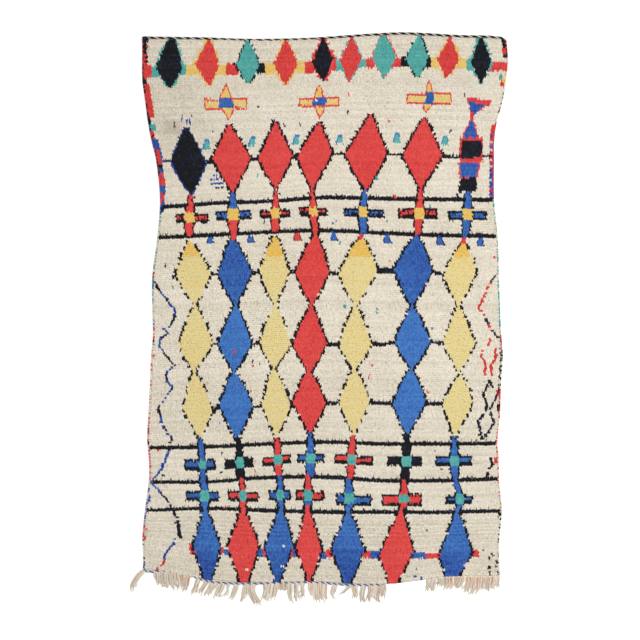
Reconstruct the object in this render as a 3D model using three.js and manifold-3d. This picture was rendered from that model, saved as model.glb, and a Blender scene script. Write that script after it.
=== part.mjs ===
// A hand-knotted wool rug lying flat on the floor with its pile up, about 1.6 m by 2.4 m with its fringe.
// Sizes are in millimetres: +Y runs along the rug to its corded end, +Z is up and the floor is at z = 0.
import * as THREE from "three";
import { mergeVertices } from "three/addons/utils/BufferGeometryUtils.js";
import Module from "manifold-3d";

const wasm = await Module();
wasm.setup();

// Widths and thicknesses of the pieces
const GAP = 0.3; // between one piece and the next
const PILE_HEIGHT = 13; // ground weave with its knots lying over
const PILE_LUMP = 0.8; // how far the pile's top rises and falls
const LUMP_ACROSS = { column: 1.3, row: 0.3 }; // radians that the two waves of the lumps turn in each cell
const LUMP_ALONG = { column: -0.4, row: 1.2 };
const RIM_HEIGHT = 8.5; // the pile thins out at the rug's edges
const RIM_SHARE = 0.012; // of the rug's width or length, taken by the thinner rim
const SELVEDGE_WIDTH = 9;
const SELVEDGE_HEIGHT = 9;
const CORD_WIDTH = 9;
const CORD_HEIGHT = 9;
const CORD_TWIST = 52; // length of one turn of the twined cord
const CORD_SWELL = 0.07; // how much fuller the cord is at each turn
const STRIP_WIDTH = 10; // twined strip that holds the fringe
const STRIP_HEIGHT = 7;
const LOCK_HEIGHT = 6.4; // a lock of fringe where it leaves its strip
const LOCK_TIP_HEIGHT = 3.6;
const LOCK_ROOT_SHARE = 0.7; // a lock's width at its root, where it is drawn together
const LOCK_TIP_SHARE = 0.6; // and at its tip
const LOCK_DRAWN_SHARE = 1 / 3; // of its length, over which the root widens
const RIM_FOOT_SHARE = 0.45; // height of a rounded edge at its two sides, as a share of its middle

// Numbers of cells that the surfaces are divided into
const FIELD_CELLS_ACROSS = 30;
const FIELD_CELLS_ALONG = 44;
const EDGE_CELLS = 4; // across a selvedge, cord or strip
const LOCK_CELLS = 4;
const CORD_STEPS = 3; // in each cell of the field's edge
const STRIP_STEPS = 2;
const SAME_CORNER = 1e-4; // corners closer than this are one
const SEARCH_STEPS = 40; // halvings that find a place along an edge

// Outer edges of the two overcast sides. The weaver let the rug draw in towards its waist and out again.
const SIDES = [
  { y: -1064, left: -749, right: 768 },
  { y: -1000, left: -746, right: 765 },
  { y: -935, left: -752, right: 765 },
  { y: -808, left: -740, right: 777 },
  { y: -680, left: -723, right: 765 },
  { y: -595, left: -723, right: 765 },
  { y: -510, left: -731, right: 757 },
  { y: -425, left: -727, right: 768 },
  { y: -255, left: -718, right: 774 },
  { y: -149, left: -714, right: 782 },
  { y: -60, left: -706, right: 774 },
  { y: 170, left: -710, right: 765 },
  { y: 340, left: -689, right: 761 },
  { y: 510, left: -676, right: 744 },
  { y: 680, left: -693, right: 744 },
  { y: 765, left: -714, right: 744 },
  { y: 850, left: -729, right: 757 },
  { y: 935, left: -740, right: 782 },
  { y: 1020, left: -752, right: 795 },
  { y: 1105, left: -752, right: 803 },
  { y: 1188, left: -752, right: 796 },
];

// Outer edge of the cord along the plain end.
const CORDED_END = [
  { x: -754, y: 1203 },
  { x: -506, y: 1200 },
  { x: -293, y: 1193 },
  { x: -81, y: 1196 },
  { x: 47, y: 1203 },
  { x: 200, y: 1214 },
  { x: 375, y: 1221 },
  { x: 599, y: 1209 },
  { x: 727, y: 1207 },
  { x: 798, y: 1198 },
];

// Edge of the knotted field along the fringed end: it dips to the middle and is worn back towards the right.
const FRINGED_END = [
  { x: -750, y: -1050 },
  { x: -718, y: -1067 },
  { x: -690, y: -1058 },
  { x: -599, y: -1066 },
  { x: -544, y: -1076 },
  { x: -489, y: -1102 },
  { x: -421, y: -1111 },
  { x: -293, y: -1115 },
  { x: -123, y: -1109 },
  { x: -4, y: -1109 },
  { x: 110, y: -1120 },
  { x: 234, y: -1119 },
  { x: 320, y: -1120 },
  { x: 385, y: -1111 },
  { x: 446, y: -1104 },
  { x: 514, y: -1088 },
  { x: 640, y: -1084 },
  { x: 769, y: -1084 },
];

// Where each of the two fringed strips starts and ends; between them the edge is worn bare.
const TWINED_STRIP = { from: -749, to: 284 };
const LOOSE_STRIP = { from: 450, to: 768 };

// The locks of fringe, each from its root on the strip to its tip on the floor.
// bow is how far its middle is carried to the right of the straight line between them.
const TWINED_LOCKS = [
  { root: -741, tip: -793, reach: -1156, bow: -17, width: 17 },
  { root: -689, tip: -684, reach: -1126, bow: 0, width: 15 },
  { root: -665, tip: -659, reach: -1139, bow: 0, width: 15 },
  { root: -642, tip: -633, reach: -1139, bow: -2, width: 15 },
  { root: -619, tip: -608, reach: -1152, bow: -4, width: 18 },
  { root: -589, tip: -587, reach: -1148, bow: 2, width: 17 },
  { root: -553, tip: -572, reach: -1156, bow: 0, width: 11 },
  { root: -510, tip: -542, reach: -1173, bow: 3, width: 11 },
  { root: -478, tip: -519, reach: -1173, bow: 4, width: 11 },
  { root: -446, tip: -476, reach: -1173, bow: 0, width: 20 },
  { root: -410, tip: -438, reach: -1182, bow: 0, width: 20 },
  { root: -383, tip: -404, reach: -1182, bow: 3, width: 8 },
  { root: -349, tip: -380, reach: -1194, bow: 5, width: 13 },
  { root: -310, tip: -327, reach: -1199, bow: 3, width: 13 },
  { root: -281, tip: -255, reach: -1213, bow: -15, width: 22 },
  { root: -225, tip: -233, reach: -1190, bow: 3, width: 13 },
  { root: -193, tip: -208, reach: -1194, bow: 0, width: 30 },
  { root: -166, tip: -162, reach: -1150, bow: 0, width: 14 },
  { root: -142, tip: -140, reach: -1150, bow: 0, width: 12 },
  { root: -121, tip: -115, reach: -1203, bow: -5, width: 10 },
  { root: -94, tip: -91, reach: -1203, bow: -3, width: 10 },
  { root: -70, tip: -73, reach: -1182, bow: 0, width: 12 },
  { root: -34, tip: -26, reach: -1186, bow: 0, width: 15 },
  { root: 2, tip: 6, reach: -1199, bow: 0, width: 40 },
  { root: 70, tip: 62, reach: -1186, bow: -9, width: 12 },
  { root: 128, tip: 87, reach: -1171, bow: 6, width: 10 },
  { root: 151, tip: 155, reach: -1190, bow: 0, width: 16 },
  { root: 189, tip: 181, reach: -1199, bow: 0, width: 12 },
  { root: 236, tip: 230, reach: -1199, bow: 0, width: 36 },
  { root: 275, tip: 263, reach: -1186, bow: 4, width: 12 },
];
const LOOSE_LOCKS = [
  { root: 465, tip: 459, reach: -1152, bow: 0, width: 10 },
  { root: 489, tip: 480, reach: -1152, bow: 0, width: 14 },
  { root: 521, tip: 514, reach: -1133, bow: 0, width: 20 },
  { root: 557, tip: 548, reach: -1148, bow: 3, width: 25 },
  { root: 599, tip: 589, reach: -1141, bow: 0, width: 28 },
  { root: 638, tip: 625, reach: -1165, bow: 4, width: 18 },
  { root: 672, tip: 659, reach: -1165, bow: 4, width: 20 },
  { root: 708, tip: 704, reach: -1156, bow: 0, width: 24 },
  { root: 739, tip: 735, reach: -1148, bow: 0, width: 15 },
  { root: 760, tip: 759, reach: -1143, bow: 0, width: 9 },
];

// A closed block of cells whose corners are put in place by a function of three shares from 0 to 1:
// across, along and up.
function placedBlock(cellsAcross, cellsAlong, place) {
  const block = new THREE.BoxGeometry(1, 1, 1, cellsAcross, cellsAlong, 1);
  block.deleteAttribute("normal");
  block.deleteAttribute("uv");
  const corners = block.getAttribute("position");
  for (let i = 0; i < corners.count; i++) {
    const corner = place(corners.getX(i) + 0.5, corners.getY(i) + 0.5, corners.getZ(i) + 0.5);
    corners.setXYZ(i, corner.x, corner.y, corner.z);
  }
  return mergeVertices(block, SAME_CORNER);
}

// A smooth edge on the floor through a list of points.
function edgeThrough(points) {
  return new THREE.SplineCurve(points.map((p) => new THREE.Vector2(p.x, p.y)));
}

// How far along +Y an end's edge lies at one place across the rug.
function edgeYAt(edge, x) {
  let low = 0;
  let high = 1;
  for (let step = 0; step < SEARCH_STEPS; step++) {
    const middle = (low + high) / 2;
    if (edge.getPoint(middle).x < x) {
      low = middle;
    } else {
      high = middle;
    }
  }
  return edge.getPoint(low).y;
}

const cordedEdge = edgeThrough(CORDED_END);
const fringedEdge = edgeThrough(FRINGED_END);
const sideInset = SELVEDGE_WIDTH + GAP;
const cordInset = CORD_WIDTH + GAP;

// One side of the knotted field, just inside its selvedge and cut to end at the field's own ends.
function fieldSide(side) {
  const inward = side === "left" ? sideInset : -sideInset;
  const points = SIDES.map((row) => ({ x: row[side] + inward, y: row.y }));
  const first = points[0];
  const last = points[points.length - 1];
  first.y = edgeYAt(fringedEdge, first.x);
  last.y = edgeYAt(cordedEdge, last.x) - cordInset;
  return edgeThrough(points);
}

// Shares from 0 to 1 that divide the field into cells: even but for the first and last, which are the rim.
function cellShares(cells) {
  const shares = [0];
  for (let cell = 1; cell < cells; cell++) {
    shares.push(RIM_SHARE + ((cell - 1) / (cells - 2)) * (1 - 2 * RIM_SHARE));
  }
  shares.push(1);
  return shares;
}

// The field's four edges as lines of cell corners, which the pieces along them follow
const acrossShares = cellShares(FIELD_CELLS_ACROSS);
const alongShares = cellShares(FIELD_CELLS_ALONG);
const leftSide = fieldSide("left");
const rightSide = fieldSide("right");
const leftLine = alongShares.map((share) => leftSide.getPointAt(share));
const rightLine = alongShares.map((share) => rightSide.getPointAt(share));
const bottomLine = acrossShares.map((share) => {
  const x = THREE.MathUtils.lerp(leftLine[0].x, rightLine[0].x, share);
  return new THREE.Vector2(x, edgeYAt(fringedEdge, x));
});
const topLine = acrossShares.map((share) => {
  const x = THREE.MathUtils.lerp(leftLine.at(-1).x, rightLine.at(-1).x, share);
  return new THREE.Vector2(x, edgeYAt(cordedEdge, x) - cordInset);
});

// How far along +Y a line of corners lies at one place across the rug; past its ends it runs on level.
function lineYAt(line, x) {
  if (x <= line[0].x) {
    return line[0].y;
  }
  const next = line.findIndex((corner) => corner.x >= x);
  if (next === -1) {
    return line.at(-1).y;
  }
  const start = line[next - 1];
  const end = line[next];
  return THREE.MathUtils.mapLinear(x, start.x, end.x, start.y, end.y);
}

// Places across the rug from one to another: every corner of a line between them, and steps in each cell.
function stepsAcross(line, from, to, stepsPerCell) {
  const inner = line.filter((corner) => corner.x > from && corner.x < to).map((corner) => corner.x);
  const corners = [from, ...inner, to];
  const places = [from];
  for (let cell = 1; cell < corners.length; cell++) {
    for (let step = 1; step <= stepsPerCell; step++) {
      places.push(THREE.MathUtils.lerp(corners[cell - 1], corners[cell], step / stepsPerCell));
    }
  }
  return places;
}

// The knotted field: one lumpy slab filled in between its four edges
function pileHeight(column, row) {
  const onEdge = column === 0 || column === FIELD_CELLS_ACROSS || row === 0 || row === FIELD_CELLS_ALONG;
  if (onEdge) {
    return RIM_HEIGHT;
  }
  const wave = Math.sin(LUMP_ACROSS.column * column + LUMP_ACROSS.row * row);
  const crossWave = Math.cos(LUMP_ALONG.column * column + LUMP_ALONG.row * row);
  return PILE_HEIGHT + PILE_LUMP * wave * crossWave;
}

function placeField(acrossShare, alongShare, up) {
  const column = Math.round(acrossShare * FIELD_CELLS_ACROSS);
  const row = Math.round(alongShare * FIELD_CELLS_ALONG);
  const across = acrossShares[column];
  const along = alongShares[row];
  const betweenEnds = bottomLine[column].clone().lerp(topLine[column], along);
  const betweenSides = leftLine[row].clone().lerp(rightLine[row], across);
  const bottomStraight = leftLine[0].clone().lerp(rightLine[0], across);
  const topStraight = leftLine.at(-1).clone().lerp(rightLine.at(-1), across);
  const straight = bottomStraight.lerp(topStraight, along);
  const place = betweenEnds.add(betweenSides).sub(straight);
  return new THREE.Vector3(place.x, place.y, up * pileHeight(column, row));
}

const field = placedBlock(FIELD_CELLS_ACROSS, FIELD_CELLS_ALONG, placeField);

// Height of a rounded edge with a flat foot, at a share of the way across it.
function roundedHeight(height, across) {
  return height * THREE.MathUtils.lerp(RIM_FOOT_SHARE, 1, Math.sin(Math.PI * across));
}

// An overcast selvedge: coloured wool wound round the outer warps, all along one side
function selvedge(line, outward) {
  return placedBlock(EDGE_CELLS, FIELD_CELLS_ALONG, (across, along, up) => {
    const corner = line[Math.round(along * FIELD_CELLS_ALONG)];
    const distance = GAP + SELVEDGE_WIDTH * (outward > 0 ? across : 1 - across);
    const height = up * roundedHeight(SELVEDGE_HEIGHT, across);
    return new THREE.Vector3(corner.x + outward * distance, corner.y, height);
  });
}

// The twined cord across the plain end, a little fuller at each turn of its twist
const cordSteps = stepsAcross(topLine, topLine[0].x - sideInset, topLine.at(-1).x + sideInset, CORD_STEPS);
const cord = placedBlock(cordSteps.length - 1, EDGE_CELLS, (across, along, up) => {
  const x = cordSteps[Math.round(across * (cordSteps.length - 1))];
  const y = lineYAt(topLine, x) + GAP + CORD_WIDTH * along;
  const twist = 1 - CORD_SWELL + CORD_SWELL * Math.sin((2 * Math.PI * x) / CORD_TWIST);
  return new THREE.Vector3(x, y, up * roundedHeight(CORD_HEIGHT, along) * twist);
});

// A closed geometry as a solid that can be joined to others, and back again
function solidOf(geometry) {
  return new wasm.Manifold(
    new wasm.Mesh({
      numProp: 3,
      vertProperties: new Float32Array(geometry.getAttribute("position").array),
      triVerts: new Uint32Array(geometry.index.array),
    }),
  );
}

function geometryOf(solid) {
  const mesh = solid.getMesh();
  const geometry = new THREE.BufferGeometry();
  geometry.setAttribute("position", new THREE.BufferAttribute(mesh.vertProperties, 3));
  geometry.setIndex(new THREE.BufferAttribute(mesh.triVerts, 1));
  return geometry;
}

// The twined strip that a run of fringe hangs from, just clear of the field's edge
function fringeStrip(strip) {
  const steps = stepsAcross(bottomLine, strip.from, strip.to, STRIP_STEPS);
  return placedBlock(steps.length - 1, EDGE_CELLS, (across, along, up) => {
    const x = steps[Math.round(across * (steps.length - 1))];
    const y = lineYAt(bottomLine, x) - GAP - STRIP_WIDTH * (1 - along);
    return new THREE.Vector3(x, y, up * roundedHeight(STRIP_HEIGHT, along));
  });
}

// One four-sided lock of fringe lying on the floor, from the middle of its strip to its tip
function fringeLock(lock) {
  const rootY = lineYAt(bottomLine, lock.root) - GAP - STRIP_WIDTH / 2;
  const root = new THREE.Vector2(lock.root, rootY);
  const tip = new THREE.Vector2(lock.tip, lock.reach);
  const bend = root.clone().lerp(tip, 0.5).add(new THREE.Vector2(lock.bow, 0));
  const path = new THREE.QuadraticBezierCurve(root, bend, tip);
  return placedBlock(1, LOCK_CELLS, (across, along, up) => {
    const done = 1 - along;
    const middle = path.getPoint(done);
    const heading = path.getTangent(done);
    const rootShare = THREE.MathUtils.lerp(LOCK_ROOT_SHARE, 1, Math.min(1, done / LOCK_DRAWN_SHARE));
    const width = lock.width * rootShare * THREE.MathUtils.lerp(1, LOCK_TIP_SHARE, done * done);
    const sideways = (across - 0.5) * width;
    const height = THREE.MathUtils.lerp(LOCK_HEIGHT, LOCK_TIP_HEIGHT, done);
    return new THREE.Vector3(middle.x - heading.y * sideways, middle.y + heading.x * sideways, up * height);
  });
}

function fringe(strip, locks) {
  let joined = solidOf(fringeStrip(strip));
  for (const lock of locks) {
    joined = joined.add(solidOf(fringeLock(lock)));
  }
  return geometryOf(joined);
}

// Every piece with its yarn's colour
const rug = new THREE.Group();
function addPiece(name, geometry, color) {
  const wool = new THREE.MeshStandardMaterial({ color, roughness: 0.95, metalness: 0, flatShading: true });
  const piece = new THREE.Mesh(geometry, wool);
  piece.name = name;
  rug.add(piece);
}
addPiece("rug_field", field, 0xded5c4);
addPiece("selvedge_left", selvedge(leftLine, -1), 0x6e2a35);
addPiece("selvedge_right", selvedge(rightLine, 1), 0x5a2f4a);
addPiece("end_cord", cord, 0x2a2b30);
addPiece("fringe_twined", fringe(TWINED_STRIP, TWINED_LOCKS), 0xc8bcac);
addPiece("fringe_loose", fringe(LOOSE_STRIP, LOOSE_LOCKS), 0xbfa283);

// The frame's origin is the middle of the rug's outline, on the floor.
const outline = new THREE.Box3().setFromObject(rug);
const centre = outline.getCenter(new THREE.Vector3());
for (const piece of rug.children) {
  piece.geometry.translate(-centre.x, -centre.y, 0);
}

export default rug;
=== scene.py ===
import bpy
import numpy as np
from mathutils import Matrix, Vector
from mathutils.bvhtree import BVHTree


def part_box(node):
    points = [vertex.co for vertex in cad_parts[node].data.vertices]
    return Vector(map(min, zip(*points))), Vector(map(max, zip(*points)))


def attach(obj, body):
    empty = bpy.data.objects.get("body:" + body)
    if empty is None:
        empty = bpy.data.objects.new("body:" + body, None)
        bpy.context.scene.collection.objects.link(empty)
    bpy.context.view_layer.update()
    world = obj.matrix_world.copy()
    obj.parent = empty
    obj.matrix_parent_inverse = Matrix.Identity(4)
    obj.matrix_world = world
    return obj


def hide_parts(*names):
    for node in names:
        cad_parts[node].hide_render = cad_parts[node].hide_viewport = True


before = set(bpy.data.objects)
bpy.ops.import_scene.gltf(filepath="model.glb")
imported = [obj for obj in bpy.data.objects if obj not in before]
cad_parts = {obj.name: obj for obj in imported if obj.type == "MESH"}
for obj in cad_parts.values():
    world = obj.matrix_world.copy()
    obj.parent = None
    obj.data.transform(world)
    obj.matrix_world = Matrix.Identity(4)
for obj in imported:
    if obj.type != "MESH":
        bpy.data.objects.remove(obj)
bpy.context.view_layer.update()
dice = np.random.default_rng(17)

# Ground weave
# The cloth under the pile: ivory wool wefts beaten down over wool warps on an upright loom. It is one flat
# sheet a few millimetres thick, a little uneven in width, and every knot of the pile is tied into it.
MM = 0.001
WEAVE_TOP = 4.0 * MM
WEAVE_FOOT = 0.3 * MM
ROWS = 268  # of tufts; each row of knots, about 17 mm long, shows as two of them
COLUMNS = 300
SHOWN_AHEAD = 11.5 * MM  # a row's wool lies over the next row, so it shows this far ahead of its knots

# The pattern is charted on squared paper. Columns are counted from left to right and lines down from the
# corded end, and these two are where the knotted field begins.
CHART_SQUARE = 4.25 * MM
CHART_LEFT = 144.2
CHART_TOP = 34.9

# Lines of the chart on which seven of the rows show, at seven places from side to side. The rows bow,
# since the weaver beat some parts harder than others. A half row lies between two.
WEFT_LINES = (
    (0, (566, 576, 579.5, 579, 581.5, 575, 573)),
    (34.5, (509.8, 507.6, 509.8, 511.4, 511.4, 511.8, 510.4)),
    (50.5, (481.5, 481.5, 476.8, 476.2, 480, 480, 478.5)),
    (68.5, (447, 446.4, 443.6, 441.6, 443.2, 443.3, 443)),
    (172.5, (237, 234.6, 231.6, 230.4, 233, 235, 236)),
    (188.5, (206.8, 203, 201, 197.2, 198.4, 199, 199.4)),
    (267, (40.4, 40.8, 41.6, 40, 36.8, 38, 40.8)),
)

# Dyes of the yarn: the deepest and the palest that each comes out of the vat.
DYES = {
    "ivory": ("#ADA392", "#DAD2C3"),
    "red": ("#B22B2A", "#D04C48"),
    "blue": ("#1B3680", "#3F72B2"),
    "yellow": ("#CBA54C", "#C9BB86"),
    "black": ("#08090C", "#2B314C"),
    "turquoise": ("#35827D", "#5AA59E"),
}

field_low, field_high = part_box("rug_field")
field_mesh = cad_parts["rug_field"].data
field_solid = BVHTree.FromPolygons(
    [corner.co for corner in field_mesh.vertices], [face.vertices for face in field_mesh.polygons]
)


def linear(colour):
    """Linear red, green, blue and alpha of an sRGB hex colour."""
    srgb = np.array([int(colour[place:place + 2], 16) / 255 for place in (1, 3, 5)])
    rgb = np.where(srgb <= 0.04045, srgb / 12.92, ((srgb + 0.055) / 1.055) ** 2.4)
    return (*rgb.tolist(), 1.0)


def between(colours, share):
    """Linear colours at shares of the way from the first of two sRGB hex colours to the second."""
    first, second = (np.array(linear(colour)) for colour in colours)
    return first + np.asarray(share)[..., None] * (second - first)


def shaded(yarn, dye_depth):
    """Linear colours of a dye at depths from 0, the deepest, to 1, the palest."""
    return between(DYES[yarn], dye_depth)


def through(values, shares):
    """A smooth curve through evenly spaced values, read at shares from 0 to 1 (Catmull-Rom)."""
    values = np.asarray(values, float)
    place = np.asarray(shares) * (len(values) - 1)
    step = np.clip(np.floor(place).astype(int), 0, len(values) - 2)
    part = place - step
    before, start = values[np.maximum(step - 1, 0)], values[step]
    end, after = values[step + 1], values[np.minimum(step + 2, len(values) - 1)]
    bend = 2 * before - 5 * start + 4 * end - after
    turn = 3 * start - before - 3 * end + after
    return start + 0.5 * part * (end - before + part * (bend + part * turn))


def x_at(column):
    return field_low.x + (np.asarray(column) - CHART_LEFT) * CHART_SQUARE


def y_at(line):
    return field_high.y - (np.asarray(line) - CHART_TOP) * CHART_SQUARE


def lines_of(rows, shares):
    """Chart lines on which rows show at shares of the rug's width, as an array of rows by shares."""
    known_rows = [row for row, places in WEFT_LINES]
    known_lines = np.array([through(places, shares) for row, places in WEFT_LINES])
    return np.array([np.interp(rows, known_rows, lines) for lines in known_lines.T]).T


def edge_from(start, towards):
    """The point where the field's solid is met from outside, just above the floor."""
    return field_solid.ray_cast(Vector((*start, 2 * MM)), Vector((*towards, 0)))[0]


def side_line(selvedge, outward):
    """One long side of the field as arrays of y and x."""
    low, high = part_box(selvedge)
    along = np.linspace(low.y + 3 * MM, high.y - 3 * MM, 200)
    return along, np.array([edge_from((2 * outward, y), (-outward, 0)).x for y in along])


LEFT_SIDE = side_line("selvedge_left", -1)
RIGHT_SIDE = side_line("selvedge_right", 1)


def x_across(shares, y):
    """Places across the rug at shares of its width there."""
    left = np.interp(y, *LEFT_SIDE)
    right = np.interp(y, *RIGHT_SIDE)
    return left + shares * (right - left)


def end_line(x, outward):
    """How far along +Y one end of the field lies at places across it."""
    inside = np.clip(x, x.min() + MM, x.max() - MM)
    return np.array([edge_from((place, 2 * outward), (0, -outward)).y for place in inside])


# Where every tuft shows: chart line and column, and place on the rug. Those of one row stand between those
# of the next, as the weaver tied them over alternate warps.
STAGGER = 0.25  # of the space between knots, to either side
WANDER = (0.4, 0.2)  # squares by which a whole row, or a single knot in it, strays from the chart
knot_shares = (np.arange(COLUMNS) + 0.5) / COLUMNS
line = lines_of(np.arange(ROWS), knot_shares)
shown_y = y_at(line)
row_shift = np.where(np.arange(ROWS) % 2, STAGGER, -STAGGER)[:, None] / COLUMNS
shown_x = x_across(knot_shares + row_shift, shown_y)
column = CHART_LEFT + (shown_x - field_low.x) / CHART_SQUARE
from_left = (shown_x - np.interp(shown_y, *LEFT_SIDE)) / CHART_SQUARE
from_right = (np.interp(shown_y, *RIGHT_SIDE) - shown_x) / CHART_SQUARE
ROW = (line[0, 0] - line[-1, 0]) / (ROWS - 1)  # squares from one row to the next
column = column + dice.normal(0, WANDER[0], (ROWS, 1))
line = line + dice.normal(0, WANDER[1], line.shape)


# The chart: which wool each knot is tied in, how deep its dye is, how far it leans from straight, how long
# its ends were cut and how far they stand above the rest
wool = np.full(line.shape, "ivory", dtype="<U9")
depth = np.full(line.shape, 0.55)
lean = np.zeros(line.shape)
cut = np.ones(line.shape)
lift = np.zeros(line.shape)

EDGE = 1.9  # squares of edging round a lozenge
RAGGED = (0.5, 1.75)  # shares of it, from row to row
STEM_EDGE = 1.4
LEAN_OUT = (30, 12)  # degrees and their spread; upper edges of a lozenge are pushed out by the wool inside
EDGE_LIFT = 0.5 * MM  # and stands a little above it
UNEVEN_SIDE = 0.25  # squares by which the side of a shape differs from row to row
EDGE_CUT = (0.9, 1.3)  # shares of a tuft's length: edging was cut last, and some of it long
ROW_CUT = (0.8, 1.1)  # and the black rows were cut shorter
LONG_ENDS = (0.28, 1.5)  # share of the knots of a black row that were left long, and how much longer


def tie(where, yarn, dye_depth=0.5):
    wool[where] = yarn
    depth[where] = dye_depth
    lean[where] = 0
    cut[where] = 1
    lift[where] = 0


BLACK_DEPTH = 0.05


def plain_depth(yarn):
    """How deep a dye is where nothing else is said: black is always deep."""
    return BLACK_DEPTH if yarn == "black" else 0.5


def outline_of(corners):
    """Whether each knot lies inside a many-sided outline, and how far it is from that outline."""
    inside = np.zeros(line.shape, bool)
    nearest = np.full(line.shape, np.inf)
    for (column_a, line_a), (column_b, line_b) in zip(corners, corners[1:] + corners[:1]):
        crossing = (line_a > line) != (line_b > line)
        slope = (column_b - column_a) / ((line_b - line_a) or 1)
        inside ^= crossing & (column < column_a + slope * (line - line_a))
        run = np.array((column_b - column_a, line_b - line_a))
        share = ((column - column_a) * run[0] + (line - line_a) * run[1]) / (run @ run)
        share = np.clip(share, 0, 1)
        away = np.hypot(column - column_a - share * run[0], line - line_a - share * run[1])
        nearest = np.minimum(nearest, away)
    return inside, nearest


def patch(yarn, corners, dye_depth=0.5, edge=None, edge_width=EDGE):
    """Every knot inside a many-sided outline, with the knots nearest to it tied in the edge's wool."""
    inside, nearest = outline_of(corners)
    tie(inside, yarn, dye_depth)
    if edge:
        tie(inside & (nearest < edge_width), edge, plain_depth(edge))


def block(yarn, columns, lines, dye_depth=0.5):
    inside = (column > columns[0]) & (column < columns[1]) & (line > lines[0]) & (line < lines[1])
    tie(inside, yarn, dye_depth)


def trim_row(where):
    """Ends of a black row: cut unevenly, and some left long."""
    cut[where] = dice.uniform(*ROW_CUT, line.shape)[where]
    left_long = where & (dice.random(line.shape) < LONG_ENDS[0])
    cut[left_long] = LONG_ENDS[1]


def black_row(start, end, thick=2.6):
    """A row of black knots from one place to another."""
    at_line = np.interp(column, (start[0], end[0]), (start[1], end[1]))
    where = (column > start[0]) & (column < end[0]) & (abs(line - at_line) < thick / 2)
    tie(where, "black", 0.0)
    trim_row(where)


def lozenge_side(top, foot, corner, bulge):
    """Columns of a lozenge's side on every line, from its top to its corner and on to its foot.

    A bulge of 1 is a straight side; below 1 it swells, and above 1 it is hollow."""
    above = np.clip((line - top[1]) / (corner[1] - top[1]), 0, 1)
    below = np.clip((foot[1] - line) / (foot[1] - corner[1]), 0, 1)
    upper = top[0] + (corner[0] - top[0]) * above ** bulge[0]
    lower = foot[0] + (corner[0] - foot[0]) * below ** bulge[1]
    return np.where(line < corner[1], upper, lower)


def lozenge(yarn, edge, top, foot, left, right, dye_depth=0.5, edge_depth=0.0, edge_width=EDGE, broken=0.0,
            bulge=(1.0, 0.95), tip=0.6):
    """A lozenge given by the four corners of its fill, with ragged edging outside them.

    tip is the least half width of the fill, and broken the share of the rows whose edging is missing."""
    left_fill = lozenge_side(top, foot, left, bulge)
    right_fill = lozenge_side(top, foot, right, bulge)
    middle = (left_fill + right_fill) / 2
    between = (line > top[1]) & (line < foot[1])
    left_fill = np.minimum(left_fill, middle - tip)
    right_fill = np.maximum(right_fill, middle + tip)
    for outward, fill in ((-1, left_fill), (1, right_fill)):
        uneven = fill + dice.normal(0, UNEVEN_SIDE, (ROWS, 1))
        reach = edge_width * dice.uniform(*RAGGED, (ROWS, 1))
        beyond = outward * (column - uneven)
        half = between & (outward * (column - middle) >= 0)
        on_edge = half & (beyond >= 0) & (beyond < reach) & (dice.random((ROWS, 1)) >= broken)
        tie(half & (beyond < 0), yarn, dye_depth)
        tie(on_edge, edge, edge_depth)
        upper = on_edge & (line < (left[1] + right[1]) / 2)
        lean[upper] = outward * dice.normal(*LEAN_OUT, line.shape)[upper]
        lift[on_edge] = EDGE_LIFT
        cut[on_edge] = dice.uniform(*EDGE_CUT, line.shape)[on_edge]


def stem(yarn, start, end, edge="black"):
    """A stem from one place to another, each with the width of its fill there, edged at both sides."""
    share = np.clip((line - start[1]) / (end[1] - start[1]), 0, 1)
    away = abs(column - (start[0] + share * (end[0] - start[0])))
    half = (start[2] + share * (end[2] - start[2])) / 2 + dice.normal(0, UNEVEN_SIDE, (ROWS, 1))
    between = (line > start[1]) & (line < end[1])
    reach = STEM_EDGE * dice.uniform(*RAGGED, (ROWS, 1))
    tie(between & (away < half + reach), edge, plain_depth(edge))
    tie(between & (away < half), yarn, plain_depth(yarn))


def arm(yarn, edge, columns, lines, edging=(2.2, 3.5, 1.8), mixed=0.0):
    """One arm of a cross. Its edging is given above, below and at its outer end, which is the first column.

    mixed is the share of its knots that are tied in the edge's wool instead."""
    low, high = sorted(columns)
    inside = (column > low) & (column < high) & (line > lines[0]) & (line < lines[1])
    tie(inside, edge, plain_depth(edge))
    core = inside & (abs(column - columns[0]) > edging[2])
    core &= (line > lines[0] + edging[0]) & (line < lines[1] - edging[1])
    core &= dice.random(line.shape) >= mixed
    tie(core, yarn, plain_depth(yarn))


STEM_SHARES = (0.72, 0.78)  # of the heart's width that the stem has above it and below it


def cross(yarns, heart_yarn, top, heart, foot, left_arm, right_arm, heart_depth=0.5, mixed=0.0):
    """A cross: wools of upper stem, lower stem and arms, then top and foot with the stem's widths there.

    The heart is its columns and lines; an arm is its outer column and its two lines."""
    middle, across = (heart[0] + heart[1]) / 2, heart[1] - heart[0]
    for outer, *lines in (left_arm, right_arm):
        arm(yarns[2], "black", (outer, middle), lines, mixed=mixed)
    stem(yarns[0], top, (middle, heart[2] + ROW, STEM_SHARES[0] * across))
    stem(yarns[1], (middle, heart[3] - ROW, STEM_SHARES[1] * across), foot)
    heart_corners = [
        (heart[0] + 1, heart[2]), (heart[1] - 1, heart[2]), (heart[1], (heart[2] + heart[3]) / 2),
        (heart[1] - 1, heart[3]), (heart[0] + 1, heart[3]), (heart[0], (heart[2] + heart[3]) / 2),
    ]
    patch(heart_yarn, heart_corners, heart_depth)


THREAD_KEPT = 0.88  # share of the rows of a thread that still have their knots
THREAD_DEPTHS = (0.0, 0.45)
THREAD_LEAN = 45  # degrees at most


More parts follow.
